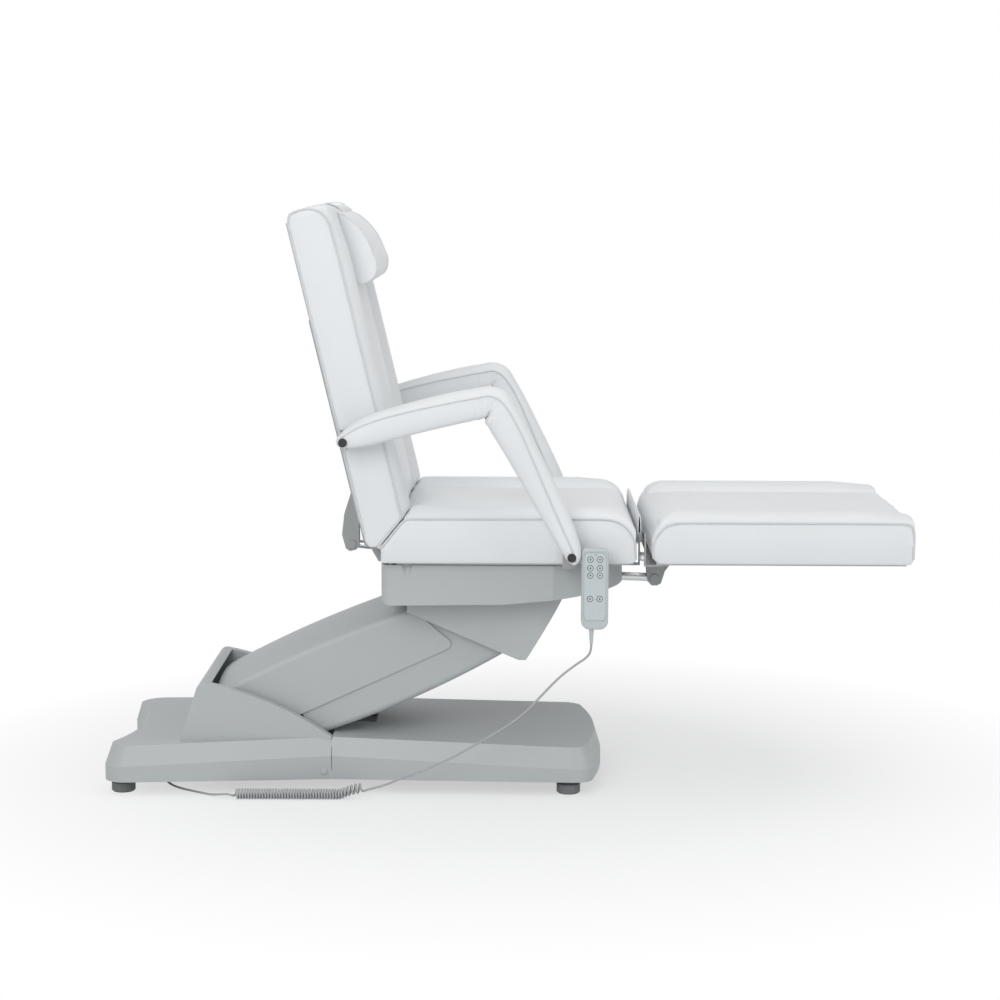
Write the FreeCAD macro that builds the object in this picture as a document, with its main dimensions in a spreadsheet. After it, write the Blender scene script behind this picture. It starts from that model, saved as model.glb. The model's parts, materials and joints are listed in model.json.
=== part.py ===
# Beauty treatment chair: parametric document, millimetres, +X towards the leg rest, +Z up.
# The origin is on the floor, under the middle of the chair's box.
import FreeCAD
import Part
import Sketcher
import math
import os
from FreeCAD import Placement, Rotation, Vector

doc = FreeCAD.newDocument("treatment_chair")
sheet = doc.addObject("Spreadsheet::Sheet", "Size")

SIZES = {
    # base
    "base_rear": 842, "base_split": 364, "base_front": 210, "base_rear_half": 255,
    "base_waist_half": 217, "base_front_half": 240, "base_bottom": 30, "shoulder_rear": 62,
    "shoulder_waist": 80, "shoulder_front": 55, "base_top_rear": 104, "base_top_waist": 118,
    "base_top_front": 100, "band_inset": 14, "rear_corner": 46, "front_corner": 36, "rear_notch": 42,
    "front_bow": 22, "cover_wall": 4, "split_gap": 1.2, "drive_mouth": 84, "housing_half": 206,
    "housing_rim": 22,
    "housing_height": 232, "housing_rear_foot": 686, "housing_rear_top": 628, "cap_radius": 8,
    "cap_height": 3, "rail_width": 40, "rail_height": 40, "rail_wall": 3, "rail_half_gap": 150,
    "rail_bottom": 44, "rail_rear": 800, "rail_front": 102, "bar_width": 56, "bar_thick": 10,
    "bar_reach": 58, "bar_ahead": 6, "fork_back": 26, "foot_radius": 25, "foot_height": 25, "foot_stem": 6,
    "foot_rear": 806,
    "foot_front": 136, "control_x": -60, "control_length": 130, "rib": 6, "foot_half": 200,
    # lift
    "lift_root_x": 530, "lift_root_z": 150, "lift_length": 547, "lift_angle": 24.5,
    "tie_back_x": 42, "tie_drop_z": 48, "lug_half": 112, "lug_thick": 8, "arm_half": 100,
    "arm_thick": 8, "arm_depth": 24, "tie_half": 84, "tie_thick": 8, "tie_depth": 14, "tube_radius": 14,
    "tube_lift": 18,
    "lower_slot": 250,
    "shaft_radius": 12, "tie_pin_radius": 9, "pin_clearance": 0.06, "side_clearance": 0.5,
    "arm_cover_half": 172, "arm_cover_top": 93, "arm_cover_crown": 10, "arm_cover_seam": 32,
    "arm_cover_low": 101, "arm_cover_rear": 46, "upper_cover_end": 447, "upper_cover_top_end": 392,
    "lower_cover_start": 96, "lower_cover_end": 566, "lower_floor_end": 488, "cover_corner": 14,
    "cover_overlap": 12, "cover_gap": 1, "bow_radius": 2400, "bow_along": 130, "wall_raise": 62,
    # linear drives
    "drive_root_x": 420, "drive_root_z": 64, "drive_tip_along": 480, "drive_tip_drop": 20,
    "motor_radius": 25, "motor_length": 90, "barrel_radius": 17, "rod_radius": 9, "eye_radius": 13,
    "eye_half": 9, "drive_pin_radius": 6, "fork_gap": 12, "fork_thick": 6, "drive_offset": 50,
    "lift_travel": 98, "back_travel": 97,
    "leg_travel": 108,
    "back_drive_x": 70, "back_drive_z": 449, "leg_drive_x": 60, "leg_drive_z": 452,
    # seat
    "seat_front": 274, "seat_bottom": 500, "seat_seam": 598, "board_thick": 12,
    "cushion_half": 300, "overrun": 5, "seat_rail_half": 140, "rail_short": 86, "cross_width": 26,
    "drive_room": 34, "bar_raise": 4,
    "seat_rail_width": 40, "seat_rail_height": 25,
    "hinge_x": 260.5, "hinge_z": 531, "hinge_half": 226, "hinge_ear": 8, "hinge_pin": 7,
    "leg_hinge_x": 283, "leg_hinge_z": 515, "leg_pin": 4, "knuckle_radius": 7, "leaf_thick": 3,
    "leaf_width": 36, "leaf_height": 66, "leg_hinge_half": 262, "crest": 14, "bolster": 84,
    "crown": 7, "draw_in": 6, "mitre_gap": 3, "nose_radius": 58,
    "tray_half": 270, "tray_rear": 256, "tray_front": 250, "tray_bottom": 411, "tray_top": 496,
    "tray_rise": 26, "tray_wall": 4, "tray_taper_start": 100, "tray_tip_half": 90, "skirt_half": 190,
    "skirt_rear": 206, "skirt_tip_x": 41, "skirt_tip_z": 278, "skirt_front": 120, "skirt_corner": 60,
    "scoop_radius": 13, "scoop_depth": 42, "strap_low": 3.5, "board_inset": 15, "flap_height": 62,
    # back
    "back_lean": 13.5, "back_height": 711, "back_rear": 25, "back_seam": 64, "back_board": 18,
    "strap_thick": 6, "strap_width": 44, "lever_down": 17.6, "lever_back": 82.4,
    "pillow_length": 430, "pillow_height": 165, "pillow_depth": 62, "pillow_top": 16,
    "pillow_strap_width": 60, "pillow_strap_thick": 3,
    # leg rest
    "leg_rear": 299, "leg_front": 842, "leg_seam": 591, "leg_pin_x": 321.5, "leg_pin_z": 437.4,
    # armrests
    "arm_side": 350, "arm_width": 58, "rear_pivot_x": 326, "rear_pivot_z": 760, "elbow_x": 40,
    "elbow_z": 822, "front_pivot_x": 135, "front_pivot_z": 529, 
    "arm_tip_radius": 15, "arm_bar_thick": 8, "arm_bar_depth": 16, "elbow_radius": 48,
    "arm_under": 13, "pad_round": 7, "bracket_boss": 4.5, "bracket_thick": 4,
    "screw_radius": 9, "screw_height": 4, "arm_pin": 5, "boss_radius": 15,
    # handset and cord
    "handset_width": 55, "handset_height": 166, "handset_depth": 22, "handset_x": 183,
    "handset_z": 378, "handset_face": 358, "handset_corner": 18, "key_radius": 5.2,
    "key_height": 1.6, "well_depth": 4, "panel_depth": 0.8, "handset_rim": 4, "hook_lip": 4,
    "hook_top": 530,
    "clip_stand": 7.6, "key_travel": 0.8, "key_clearance": 0.35, "hook_width": 24, "hook_thick": 2.4,
    "relief_radius": 5, "relief_length": 30, "cord_radius": 2.3, "curl_radius": 9.1,
    "curl_pitch": 5.9, "curl_count": 36, "curl_climb": 12, "curl_spread": 3.4, "curl_lead": 9,
    "gland_radius": 9, "gland_height": 14,
}
for row, (alias, value) in enumerate(SIZES.items(), start=1):
    sheet.set(f"A{row}", alias)
    sheet.set(f"B{row}", str(value))
    sheet.setAlias(f"B{row}", alias)
doc.recompute()


class Sheet:
    """Reads a driving size from the document's sheet."""

    def __getattr__(self, alias):
        return float(sheet.get(alias))


size = Sheet()
nodes = []
Y_AXIS = Rotation(Vector(1, 0, 0), -90)


# Helpers
def bind(item, **cells):
    for name, cell in cells.items():
        item.setExpression(name, cell)
    return item


def cells(text):
    """Writes a sum of aliases as an expression on the sheet."""
    words = text.split()
    return " ".join("Size." + w if w[0].isalpha() else w for w in words)


def box(length, width, height, corner):
    item = doc.addObject("Part::Box", "box")
    bind(item, Length=cells(length), Width=cells(width), Height=cells(height))
    item.Placement.Base = Vector(*corner)
    return item


def rod(radius, length, start, turn=Y_AXIS):
    """A round bar from start, along Y unless another turn is given."""
    item = doc.addObject("Part::Cylinder", "rod")
    bind(item, Radius=cells(radius), Height=cells(length))
    item.Placement = Placement(Vector(*start), turn)
    return item


def joined(items):
    item = doc.addObject("Part::MultiFuse", "joined")
    item.Shapes = items
    item.Refine = True
    return item


def cut(base, tool):
    item = doc.addObject("Part::Cut", "cut")
    item.Base = base
    item.Tool = tool
    return item


def group(items):
    item = doc.addObject("Part::Compound", "group")
    item.Links = items
    return item


def shaped(shape):
    item = doc.addObject("Part::Feature", "formed")
    item.Shape = shape
    return item


def node(label, item, place=None):
    if place is not None:
        item.Placement = place
    item.Label = label
    nodes.append(item)
    return item


def plate(outline, thick, y, holes=(), turn=None):
    """A flat plate: a closed outline in X and Z with round holes, padded along Y from y."""
    body = doc.addObject("PartDesign::Body", "plate")
    sketch = body.newObject("Sketcher::SketchObject", "outline")
    plane = [f for f in body.Origin.OriginFeatures if f.Role == "XZ_Plane"][0]
    sketch.AttachmentSupport = [(plane, "")]
    sketch.MapMode = "FlatFace"
    count = len(outline)
    for i, (x, z) in enumerate(outline):
        after = outline[(i + 1) % count]
        sketch.addGeometry(Part.LineSegment(Vector(x, z, 0), Vector(after[0], after[1], 0)))
    for i, (x, z) in enumerate(outline):
        sketch.addConstraint(Sketcher.Constraint("Coincident", i, 2, (i + 1) % count, 1))
        sketch.addConstraint(Sketcher.Constraint("DistanceX", -1, 1, i, 1, x))
        sketch.addConstraint(Sketcher.Constraint("DistanceY", -1, 1, i, 1, z))
    for x, z, radius in holes:
        circle = sketch.addGeometry(Part.Circle(Vector(x, z, 0), Vector(0, 0, 1), 5))
        sketch.addConstraint(Sketcher.Constraint("DistanceX", -1, 1, circle, 3, x))
        sketch.addConstraint(Sketcher.Constraint("DistanceY", -1, 1, circle, 3, z))
        bore = sketch.addConstraint(Sketcher.Constraint("Radius", circle, 5))
        sketch.setExpression(f"Constraints[{bore}]", cells(radius))
    pad = body.newObject("PartDesign::Pad", "pad")
    pad.Profile = sketch
    pad.Reversed = True
    bind(pad, Length=cells(thick))
    body.Placement = Placement(Vector(0, y, 0), turn or Rotation())
    return body


def link(length, depth, thick, hole, y):
    """A flat bar with round ends and a hole at each end, along X from the origin."""
    bar = box(length, f"{thick}", f"{depth} * 2", (0, y, -getattr(size, depth)))
    ends = [rod(depth, thick, (x, y, 0)) for x in (0, getattr(size, length))]
    bores = [rod(hole, thick, (x, y, 0)) for x in (0, getattr(size, length))]
    return cut(joined([bar] + ends), group(bores))


def tube(length, width, height, corner):
    """A rectangular steel tube with open ends along X."""
    wall = size.rail_wall
    outer = box(length, width, height, corner)
    inner_corner = (corner[0], corner[1] + wall, corner[2] + wall)
    inner = box(length, f"{width} - rail_wall * 2", f"{height} - rail_wall * 2", inner_corner)
    return cut(outer, inner)


def tilted(x, z, angle):
    """The place of a piece drawn along X that rises by angle from the point x, z."""
    return Placement(Vector(x, 0, z), Rotation(Vector(0, -1, 0), angle))


def at(place, along, up, y=0):
    return place.multVec(Vector(along, y, up))


def polygon(points):
    return Part.Face(Part.makePolygon(points + [points[0]]))


def both_sides(length, height, width, corner):
    """Two boxes, mirrored in Y; the corner is that of the far one."""
    x, y, z = corner
    return [Part.makeBox(length, width, height, Vector(x, y, z)),
            Part.makeBox(length, width, height, Vector(x, -y - width, z))]


def spot(x, z):
    return Vector(x, 0, z)


def arc(a, b, c):
    return Part.Arc(a, b, c).toShape()


def line(a, b):
    return Part.makeLine(a, b)


# Base: steel frame, feet and the two moulded covers
REAR, SPLIT, FRONT = -size.base_rear, -size.base_split, size.base_front
ROOT = Vector(-size.lift_root_x, 0, size.lift_root_z)
TIE = Vector(size.tie_back_x, 0, -size.tie_drop_z)
ARM = tilted(ROOT.x, ROOT.z, size.lift_angle)
TOP = at(ARM, size.lift_length, 0)
DRIVE_ROOT = Vector(-size.drive_root_x, 0, size.drive_root_z)
DRIVE_TIP = at(ARM, size.drive_tip_along, -size.drive_tip_drop)


def mirrored_plates(outline, half, thick, holes):
    """The same plate on both sides, its inner face at half from the middle."""
    far = plate(outline, thick, getattr(size, half), holes)
    near = plate(outline, thick, -getattr(size, half) - getattr(size, thick), holes)
    return [far, near]


def base_frame():
    low = size.rail_bottom
    high = low + size.rail_height
    gap = size.rail_half_gap
    pieces = []
    for y in (gap, -gap - size.rail_width):
        pieces.append(tube("rail_rear + rail_front", "rail_width", "rail_height",
                           (-size.rail_rear, y, low)))
    for x in (ROOT.x - size.rail_width, DRIVE_ROOT.x - size.fork_back - size.rail_width):
        cross = box("rail_width", "rail_half_gap * 2", "rail_height", (x, -gap, low))
        pieces.append(cross)
    for x in (-size.foot_rear - size.bar_ahead, size.foot_front + size.bar_ahead - size.bar_width):
        for y in (gap, -gap - size.bar_reach):
            pieces.append(box("bar_width", "bar_reach", "bar_thick", (x, y, low - size.bar_thick)))
    tie = ROOT + TIE
    lug = [(ROOT.x - 40, high), (ROOT.x - 40, low), (DRIVE_ROOT.x + 30, low), (DRIVE_ROOT.x + 30, high),
           (tie.x + 24, tie.z + 22), (ROOT.x + 26, ROOT.z + 24), (ROOT.x - 24, ROOT.z + 24)]
    holes = [(ROOT.x, ROOT.z, "shaft_radius"), (tie.x, tie.z, "tie_pin_radius")]
    pieces += mirrored_plates(lug, "lug_half", "lug_thick", holes)
    x, z, rear = DRIVE_ROOT.x, DRIVE_ROOT.z, DRIVE_ROOT.x - size.fork_back - 2
    fork = [(rear, low), (x + 4, z - 14), (x + 13, z - 5), (x + 13, z + 5), (x + 4, z + 14), (rear, high)]
    pieces += mirrored_plates(fork, "fork_gap", "fork_thick",
                              [(DRIVE_ROOT.x, DRIVE_ROOT.z, "drive_pin_radius")])
    node("base_frame", joined(pieces))


def base_pins():
    """The fixed pivots of the lift: main shaft, tie pin and the drive's lower pin."""
    reach = size.lug_half + size.lug_thick
    tie = ROOT + TIE
    fork = size.fork_gap + size.fork_thick
    shafts = [rod("shaft_radius", "lug_half * 2 + lug_thick * 2", (ROOT.x, -reach, ROOT.z)),
              rod("tie_pin_radius", "lug_half * 2 + lug_thick * 2", (tie.x, -reach, tie.z)),
              rod("drive_pin_radius", "fork_gap * 2 + fork_thick * 2", (DRIVE_ROOT.x, -fork, DRIVE_ROOT.z))]
    node("base_pivot_pins", group(shafts))


def levelling_feet():
    """A turned rubber pad on a screwed stem under each end of the cross bars."""
    for name, x in (("rear", -size.foot_rear), ("front", size.foot_front)):
        for side, y in (("right", -size.foot_half), ("left", size.foot_half)):
            body = doc.addObject("PartDesign::Body", f"foot_{name}_{side}")
            sketch = body.newObject("Sketcher::SketchObject", "half_section")
            plane = [f for f in body.Origin.OriginFeatures if f.Role == "XZ_Plane"][0]
            sketch.AttachmentSupport = [(plane, "")]
            sketch.MapMode = "FlatFace"
            r, top, stem = size.foot_radius, size.foot_height, size.foot_stem
            seat = size.rail_bottom - size.bar_thick
            outline = [(0, 0), (r - 3, 0), (r, 3), (r, top - 5), (r - 7, top), (stem, top), (stem, seat),
                       (0, seat)]
            for i, (a, b) in enumerate(outline):
                after = outline[(i + 1) % len(outline)]
                sketch.addGeometry(Part.LineSegment(Vector(a, b, 0), Vector(*after, 0)))
            for i, (a, b) in enumerate(outline):
                sketch.addConstraint(Sketcher.Constraint("Coincident", i, 2, (i + 1) % len(outline), 1))
                sketch.addConstraint(Sketcher.Constraint("DistanceX", -1, 1, i, 1, a))
                sketch.addConstraint(Sketcher.Constraint("DistanceY", -1, 1, i, 1, b))
            turned = body.newObject("PartDesign::Revolution", "turned")
            turned.Profile = sketch
            turned.ReferenceAxis = (sketch, ["V_Axis"])
            turned.Angle = 360
            node(f"foot_{name}_{side}", body, Placement(Vector(x, y, 0), Rotation()))


def cover_wire(end, half_split, half_end, bow, corner, z_split, z_end, inset):
    """A plan outline of one cover, from the split to its curved end, on a sloping plane."""
    split = SPLIT + math.copysign(size.split_gap / 2, end - SPLIT)
    way = math.copysign(1, end - split)
    tip = end - way * inset
    slope = (z_end - z_split) / (end - split)

    def spot(x, y):
        return Vector(x, y, z_split + slope * (x - split))

    near_half = half_split - inset
    far_half = half_end - inset
    round_off = corner * (1 - math.sqrt(0.5))
    edge_x = tip - way * (corner + max(bow, 0))
    corner_x = tip - way * max(bow, 0)
    middle = tip - way * max(-bow, 0)
    edges = [line(spot(split, -near_half), spot(split, near_half)),
             line(spot(split, near_half), spot(edge_x, far_half)),
             arc(spot(edge_x, far_half), spot(corner_x - way * round_off, far_half - round_off),
                 spot(corner_x, far_half - corner)),
             arc(spot(corner_x, far_half - corner), spot(middle, 0), spot(corner_x, corner - far_half)),
             arc(spot(corner_x, corner - far_half), spot(corner_x - way * round_off, round_off - far_half),
                 spot(edge_x, -far_half)),
             line(spot(edge_x, -far_half), spot(split, -near_half))]
    return Part.Wire(edges)


def cover_solid(end, half_end, bow, corner, shoulder_end, top_end, inset, drop):
    """The moulded hull of one cover: upright wall, sloping band and flat top."""
    waist = size.base_waist_half
    floor = size.base_bottom - (1 if inset else 0)
    bottom = cover_wire(end, waist, half_end, bow, corner, floor, floor, inset)
    ridge = cover_wire(end, waist, half_end, bow, corner, size.shoulder_waist - drop / 2,
                       shoulder_end - drop / 2, inset)
    crown = cover_wire(end, waist, half_end, bow, corner, size.base_top_waist - drop, top_end - drop,
                       inset + size.band_inset)
    return Part.makeLoft([bottom, ridge, crown], True, True)


def housing_profile(inset):
    """Side view of the raised housing: leaning rear wall and a falling rim."""
    low = size.base_bottom
    foot = Vector(-size.housing_rear_foot + inset, 0, low)
    ankle = Vector(-size.housing_rear_foot + inset, 0, size.base_top_rear)
    shoulder = Vector(-size.housing_rear_top - 22 + inset, 0, size.housing_height - 14)
    crest = Vector(-size.housing_rear_top + inset, 0, size.housing_height)
    front = Vector(SPLIT - size.split_gap / 2, 0, size.base_top_waist)
    middle = (crest + front) * 0.5 + Vector(6, 0, 14)
    edges = [line(foot, ankle), line(ankle, shoulder),
             arc(shoulder, shoulder + Vector(7, 0, 11), crest), arc(crest, middle, front),
             line(front, Vector(front.x, 0, low)), line(Vector(front.x, 0, low), foot)]
    return Part.Face(Part.Wire(edges))


def rear_cover():
    wall = size.cover_wall
    outer = cover_solid(REAR, size.base_rear_half, -size.rear_notch, size.rear_corner, size.shoulder_rear,
                        size.base_top_rear, 0, 0)
    inner = cover_solid(REAR, size.base_rear_half, -size.rear_notch, size.rear_corner - wall,
                        size.shoulder_rear,
                        size.base_top_rear, wall, wall)
    half = size.housing_half
    raised = housing_profile(0).translated(Vector(0, -half, 0)).extrude(Vector(0, half * 2, 0))
    well_half = half - size.housing_rim
    well = housing_profile(wall * 2).translated(Vector(0, -well_half,
                                                       0)).extrude(Vector(0, well_half * 2, 0))
    lifted = well.translated(Vector(0, 0, size.housing_height - size.base_bottom))
    low_well = well.translated(Vector(0, 0, -wall))
    way_out = Part.makeBox(size.housing_rear_top - size.base_split + 60, well_half * 2, size.housing_height,
                           Vector(-size.housing_rear_top + wall * 2, -well_half, size.base_bottom - 1))
    shell = outer.fuse(raised).cut(inner).cut(low_well).cut(lifted).cut(way_out)
    rail_top = size.rail_bottom + size.rail_height
    ribs = both_sides(40, 40, size.rib, (SPLIT - 76, well_half, rail_top))
    ribs += both_sides(20, size.base_top_rear + 1 - rail_top, 20,
                       (REAR + 84, size.rail_half_gap + 10, rail_top))
    node("base_cover_rear", shaped(shell.fuse(ribs).removeSplitter()))


def front_cover():
    wall = size.cover_wall
    outer = cover_solid(FRONT, size.base_front_half, size.front_bow, size.front_corner, size.shoulder_front,
                        size.base_top_front, 0, 0)
    inner = cover_solid(FRONT, size.base_front_half, size.front_bow, size.front_corner - wall,
                        size.shoulder_front,
                        size.base_top_front, wall, wall)
    mouth_half = size.motor_radius + 20
    mouth = Part.makeBox(size.drive_mouth, mouth_half * 2, size.base_top_waist,
                         Vector(SPLIT, -mouth_half, size.base_bottom + 20))
    rail_top = size.rail_bottom + size.rail_height
    ribs = both_sides(20, 30, 20, (SPLIT + 60, size.rail_half_gap + 8, rail_top))
    ribs += both_sides(20, 20, 20, (size.control_x + 90, size.rail_half_gap + 8, rail_top))
    node("base_cover_front", shaped(outer.cut(inner).cut(mouth).fuse(ribs).removeSplitter()))


def screw_caps():
    """Round caps over the screws beside the split, one on each side wall."""
    z = (size.base_bottom + size.shoulder_waist) / 2 - 8
    x = SPLIT - 16
    caps = [rod("cap_radius", "cap_height", (x, y, z)) for y in
            (size.base_waist_half + 1.3, -size.base_waist_half - size.cap_height - 1.3)]
    node("cover_screw_caps", group(caps))


def control_box():
    """The drives' power unit, held between the side rails under the front cover."""
    half = size.rail_half_gap
    corner = Vector(size.control_x, -half, size.rail_bottom + 2)
    case = Part.makeBox(size.control_length, half * 2, size.rail_height - 4, corner)
    edges = [e for e in case.Edges if e.BoundBox.YLength > half]
    node("control_box", shaped(case.makeFillet(5, edges)))


base_frame()
base_pins()
levelling_feet()
rear_cover()
front_cover()
screw_caps()
control_box()


# Lift: arm, tie link and their covers
def arm_frame():
    """Two flat bars joined by round tubes, with the drive's fork near the upper end."""
    hole = "shaft_radius + pin_clearance"
    bars = [link("lift_length", "arm_depth", "arm_thick", hole, y)
            for y in (size.arm_half, -size.arm_half - size.arm_thick)]
    along, drop = size.drive_tip_along, size.drive_tip_drop
    tubes = [rod("tube_radius", "arm_half * 2", (x, -size.arm_half, z))
             for x, z in ((size.lift_length * 0.37, 0), (along, size.tube_lift))]
    fork = [(along - 15, -drop - 15), (along + 15, -drop - 15), (along + 13, size.tube_lift),
            (along - 13, size.tube_lift)]
    node("lift_arm_frame", joined(bars + tubes + mirrored_plates(fork, "fork_gap", "fork_thick", ())), ARM)


def tie_link():
    hole = "tie_pin_radius + pin_clearance"
    bars = [link("lift_length", "tie_depth", "tie_thick", hole, y)
            for y in (size.tie_half, -size.tie_half - size.tie_thick)]
    brace = rod("tube_radius / 2", "tie_half * 2", (size.lift_length * 0.16, -size.tie_half, 0))
    low = ROOT + TIE
    node("tie_link", joined(bars + [brace]), tilted(low.x, low.z, size.lift_angle))


def upper_section(inset):
    """Cross-section of the upper arm cover: side walls, round creases and a crowned top."""
    half, top = size.arm_cover_half - inset, size.arm_cover_top - inset
    low, r = -size.arm_cover_seam - size.cover_overlap - inset, size.cover_corner
    k = r * (1 - math.sqrt(0.5))
    crown = Vector(0, 0, top + size.arm_cover_crown)
    left = [Vector(0, -half, low), Vector(0, -half, top - r), Vector(0, -half + k, top - k),
            Vector(0, -half + r, top)]
    right = [Vector(0, -p.y, p.z) for p in left]
    edges = [line(left[0], left[1]), arc(*left[1:]), arc(left[3], crown, right[3]),
             arc(*reversed(right[1:])),
             line(right[1], right[0]), line(right[0], left[0])]
    return Part.Face(Part.Wire(edges))


def bowed(section, start, end):
    """A cross-section run from start to end along an arc that bows upwards."""
    centre, axis = Vector(size.bow_along, 0, -size.bow_radius), Vector(0, 1, 0)
    stations = []
    for step in range(5):
        along = start + (end - start) * step / 4 - size.bow_along
        wire = section.OuterWire.translated(Vector(size.bow_along, 0, 0))
        wire.rotate(centre, axis, math.degrees(along / size.bow_radius))
        stations.append(wire)
    return Part.makeLoft(stations, True, False)


def upper_arm_cover():
    """Inverted trough over the arm; its upper end is cut back under the seat's shroud."""
    wall, rear, end = size.cover_wall, -size.arm_cover_rear, size.upper_cover_end
    outer = bowed(upper_section(0), rear, end + wall)
    inner = bowed(upper_section(wall), rear + wall, end + wall * 2)
    low, r = -size.arm_cover_seam, size.cover_corner
    high = size.arm_cover_top + size.arm_cover_crown + 1
    back_low = size.arm_depth + 8
    k = r * (1 - math.sqrt(0.5))
    throat = rear + wall * 5
    p = [Vector(rear - wall, 0, back_low), Vector(throat, 0, back_low), Vector(throat, 0, low),
         Vector(end - r, 0, low), Vector(end, 0, low + r), Vector(end - r, 0, low + r * 3),
         Vector(size.upper_cover_top_end, 0, high), Vector(rear - wall, 0, high)]
    edges = [line(p[0], p[1]), line(p[1], p[2]), line(p[2], p[3]),
             arc(p[3], Vector(end - k, 0, low + k), p[4]), line(p[4], p[5]), line(p[5], p[6]),
             line(p[6], p[7]), line(p[7], p[0])]
    half = size.arm_cover_half + 1
    side = Part.Face(Part.Wire(edges)).translated(Vector(0, -half, 0)).extrude(Vector(0, half * 2, 0))
    ribs = both_sides(20, high - size.arm_depth - 8, size.arm_thick,
                      (size.bow_along, size.arm_half, size.arm_depth))
    node("arm_cover_upper", shaped(outer.cut(inner).common(side).fuse(ribs)), ARM)


def keel(inset, half, corner):
    """The lower cover as a block: flat sides that rise under the shroud, and a bowed underside."""
    start, end, low = size.lower_cover_start, size.lower_cover_end, -size.arm_cover_low + inset
    top = -size.arm_cover_seam + size.cover_overlap + inset
    raised, crest = size.upper_cover_end - 12, top + size.wall_raise
    first, last = spot(start - inset, low + 13), spot(end + inset, low + 13)
    edges = [arc(first, spot(330, low), last), line(last, spot(end + inset, top)),
             line(spot(end + inset, top), spot(raised + 56, top)),
             line(spot(raised + 56, top), spot(raised, crest)),
             line(spot(raised, crest), spot(raised - 30, crest)),
             line(spot(raised - 30, crest), spot(raised - 90, top)),
             line(spot(raised - 90, top), spot(start - inset, top)), line(spot(start - inset, top), first)]
    block = Part.Face(Part.Wire(edges)).translated(Vector(0, -half, 0)).extrude(Vector(0, half * 2, 0))
    under = [e for e in block.Edges if e.BoundBox.YLength < 0.01 and e.BoundBox.ZMax < low + 23
             and e.BoundBox.XLength > start]
    return block.makeFillet(corner, under)


def lower_arm_cover():
    """Trough that closes the arm from below, its walls standing inside the upper cover."""
    wall = size.cover_wall
    half = size.arm_cover_half - wall - size.cover_gap
    low, start, end = -size.arm_cover_low, size.lower_cover_start, size.lower_cover_end
    outer = keel(0, half, size.cover_corner)
    inner = keel(wall, half - wall, size.cover_corner - wall)
    slot_half = size.motor_radius + 14
    deep = 40
    slot = Part.makeBox(size.lower_slot, slot_half * 2, deep, Vector(start - 1, -slot_half, low - 4))
    mouth_half = size.arm_cover_half - size.cover_corner * 2
    mouth = Part.makeBox(end, mouth_half * 2, deep, Vector(size.lower_floor_end, -mouth_half, low - 4))
    ribs = both_sides(20, -size.arm_depth - low - wall / 2, size.arm_thick,
                      (end * 0.7, size.arm_half, low + wall / 2))
    node("arm_cover_lower", shaped(outer.cut(inner).cut(slot).cut(mouth).fuse(ribs)), ARM)


# Linear drives: motor and barrel turn on the root pin, the rod slides in the barrel
def drive(name, root, tip, travel, longer_at_rest):
    run = tip - root
    rest = run.Length
    place = Placement(root, Rotation(Vector(1, 0, 0), run))
    shortest = rest - travel if longer_at_rest else rest
    neck = size.eye_radius + 6
    bore_start = neck + size.motor_length + 6
    barrel_end = shortest - size.eye_radius * 2
    along = Vector(1, 0, 0)
    motor = Part.makeCylinder(size.motor_radius, size.motor_length, Vector(neck, 0, 0), along)
    motor = motor.makeFillet(5, [e for e in motor.Edges if e.Curve.TypeId == "Part::GeomCircle"])
    barrel = Part.makeCylinder(size.barrel_radius, barrel_end - neck, Vector(neck, 0, 0), along)
    eye = Part.makeCylinder(size.eye_radius, size.eye_half * 2, Vector(0, -size.eye_half, 0),
                            Vector(0, 1, 0))
    tang = Part.makeBox(neck + 2, size.eye_half * 2, size.eye_radius * 1.6,
                        Vector(0, -size.eye_half, -size.eye_radius * 0.8))
    hole = Part.makeCylinder(size.drive_pin_radius + size.pin_clearance, 40, Vector(0, -20, 0),
                             Vector(0, 1, 0))
    bore = Part.makeCylinder(size.rod_radius + size.pin_clearance, barrel_end, Vector(bore_start, 0, 0),
                             along)
    case = motor.fuse([barrel, eye, tang]).cut(bore).cut(hole)
    node(f"{name}_drive_case", shaped(case), place)
    inner_end = bore_start + 4 + (travel if longer_at_rest else 0)
    shank = Part.makeCylinder(size.rod_radius, rest - inner_end, Vector(inner_end, 0, 0), along)
    tip_eye = Part.makeCylinder(size.eye_radius, size.eye_half * 2, Vector(rest, -size.eye_half, 0),
                                Vector(0, 1, 0))
    stub = size.fork_gap - size.side_clearance
    pin = Part.makeCylinder(size.drive_pin_radius, stub * 2, Vector(rest, -stub, 0), Vector(0, 1, 0))
    node(f"{name}_drive_rod", shaped(shank.fuse([tip_eye, pin])), place)


arm_frame()
tie_link()
upper_arm_cover()
lower_arm_cover()
drive("lift", DRIVE_ROOT, DRIVE_TIP, size.lift_travel, False)


# Seat: steel frame, board, cushion and the moulded shroud below it
HINGE = Vector(-size.hinge_x, 0, size.hinge_z)
LEG_HINGE = Vector(size.leg_hinge_x, 0, size.leg_hinge_z)
BACK_ROOT = Vector(size.back_drive_x, size.drive_offset, size.back_drive_z)
LEG_ROOT = Vector(-size.leg_drive_x, -size.drive_offset, size.leg_drive_z)
BACK = tilted(HINGE.x, HINGE.z, size.back_lean)
MITRE = math.radians((90 + size.back_lean) / 2)
RAIL_LOW = size.seat_bottom - size.seat_rail_height
RAIL_REAR = HINGE.x + 24
STRAP_LOW = size.seat_bottom - size.strap_low
BOARD_REAR = RAIL_REAR + 14


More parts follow.
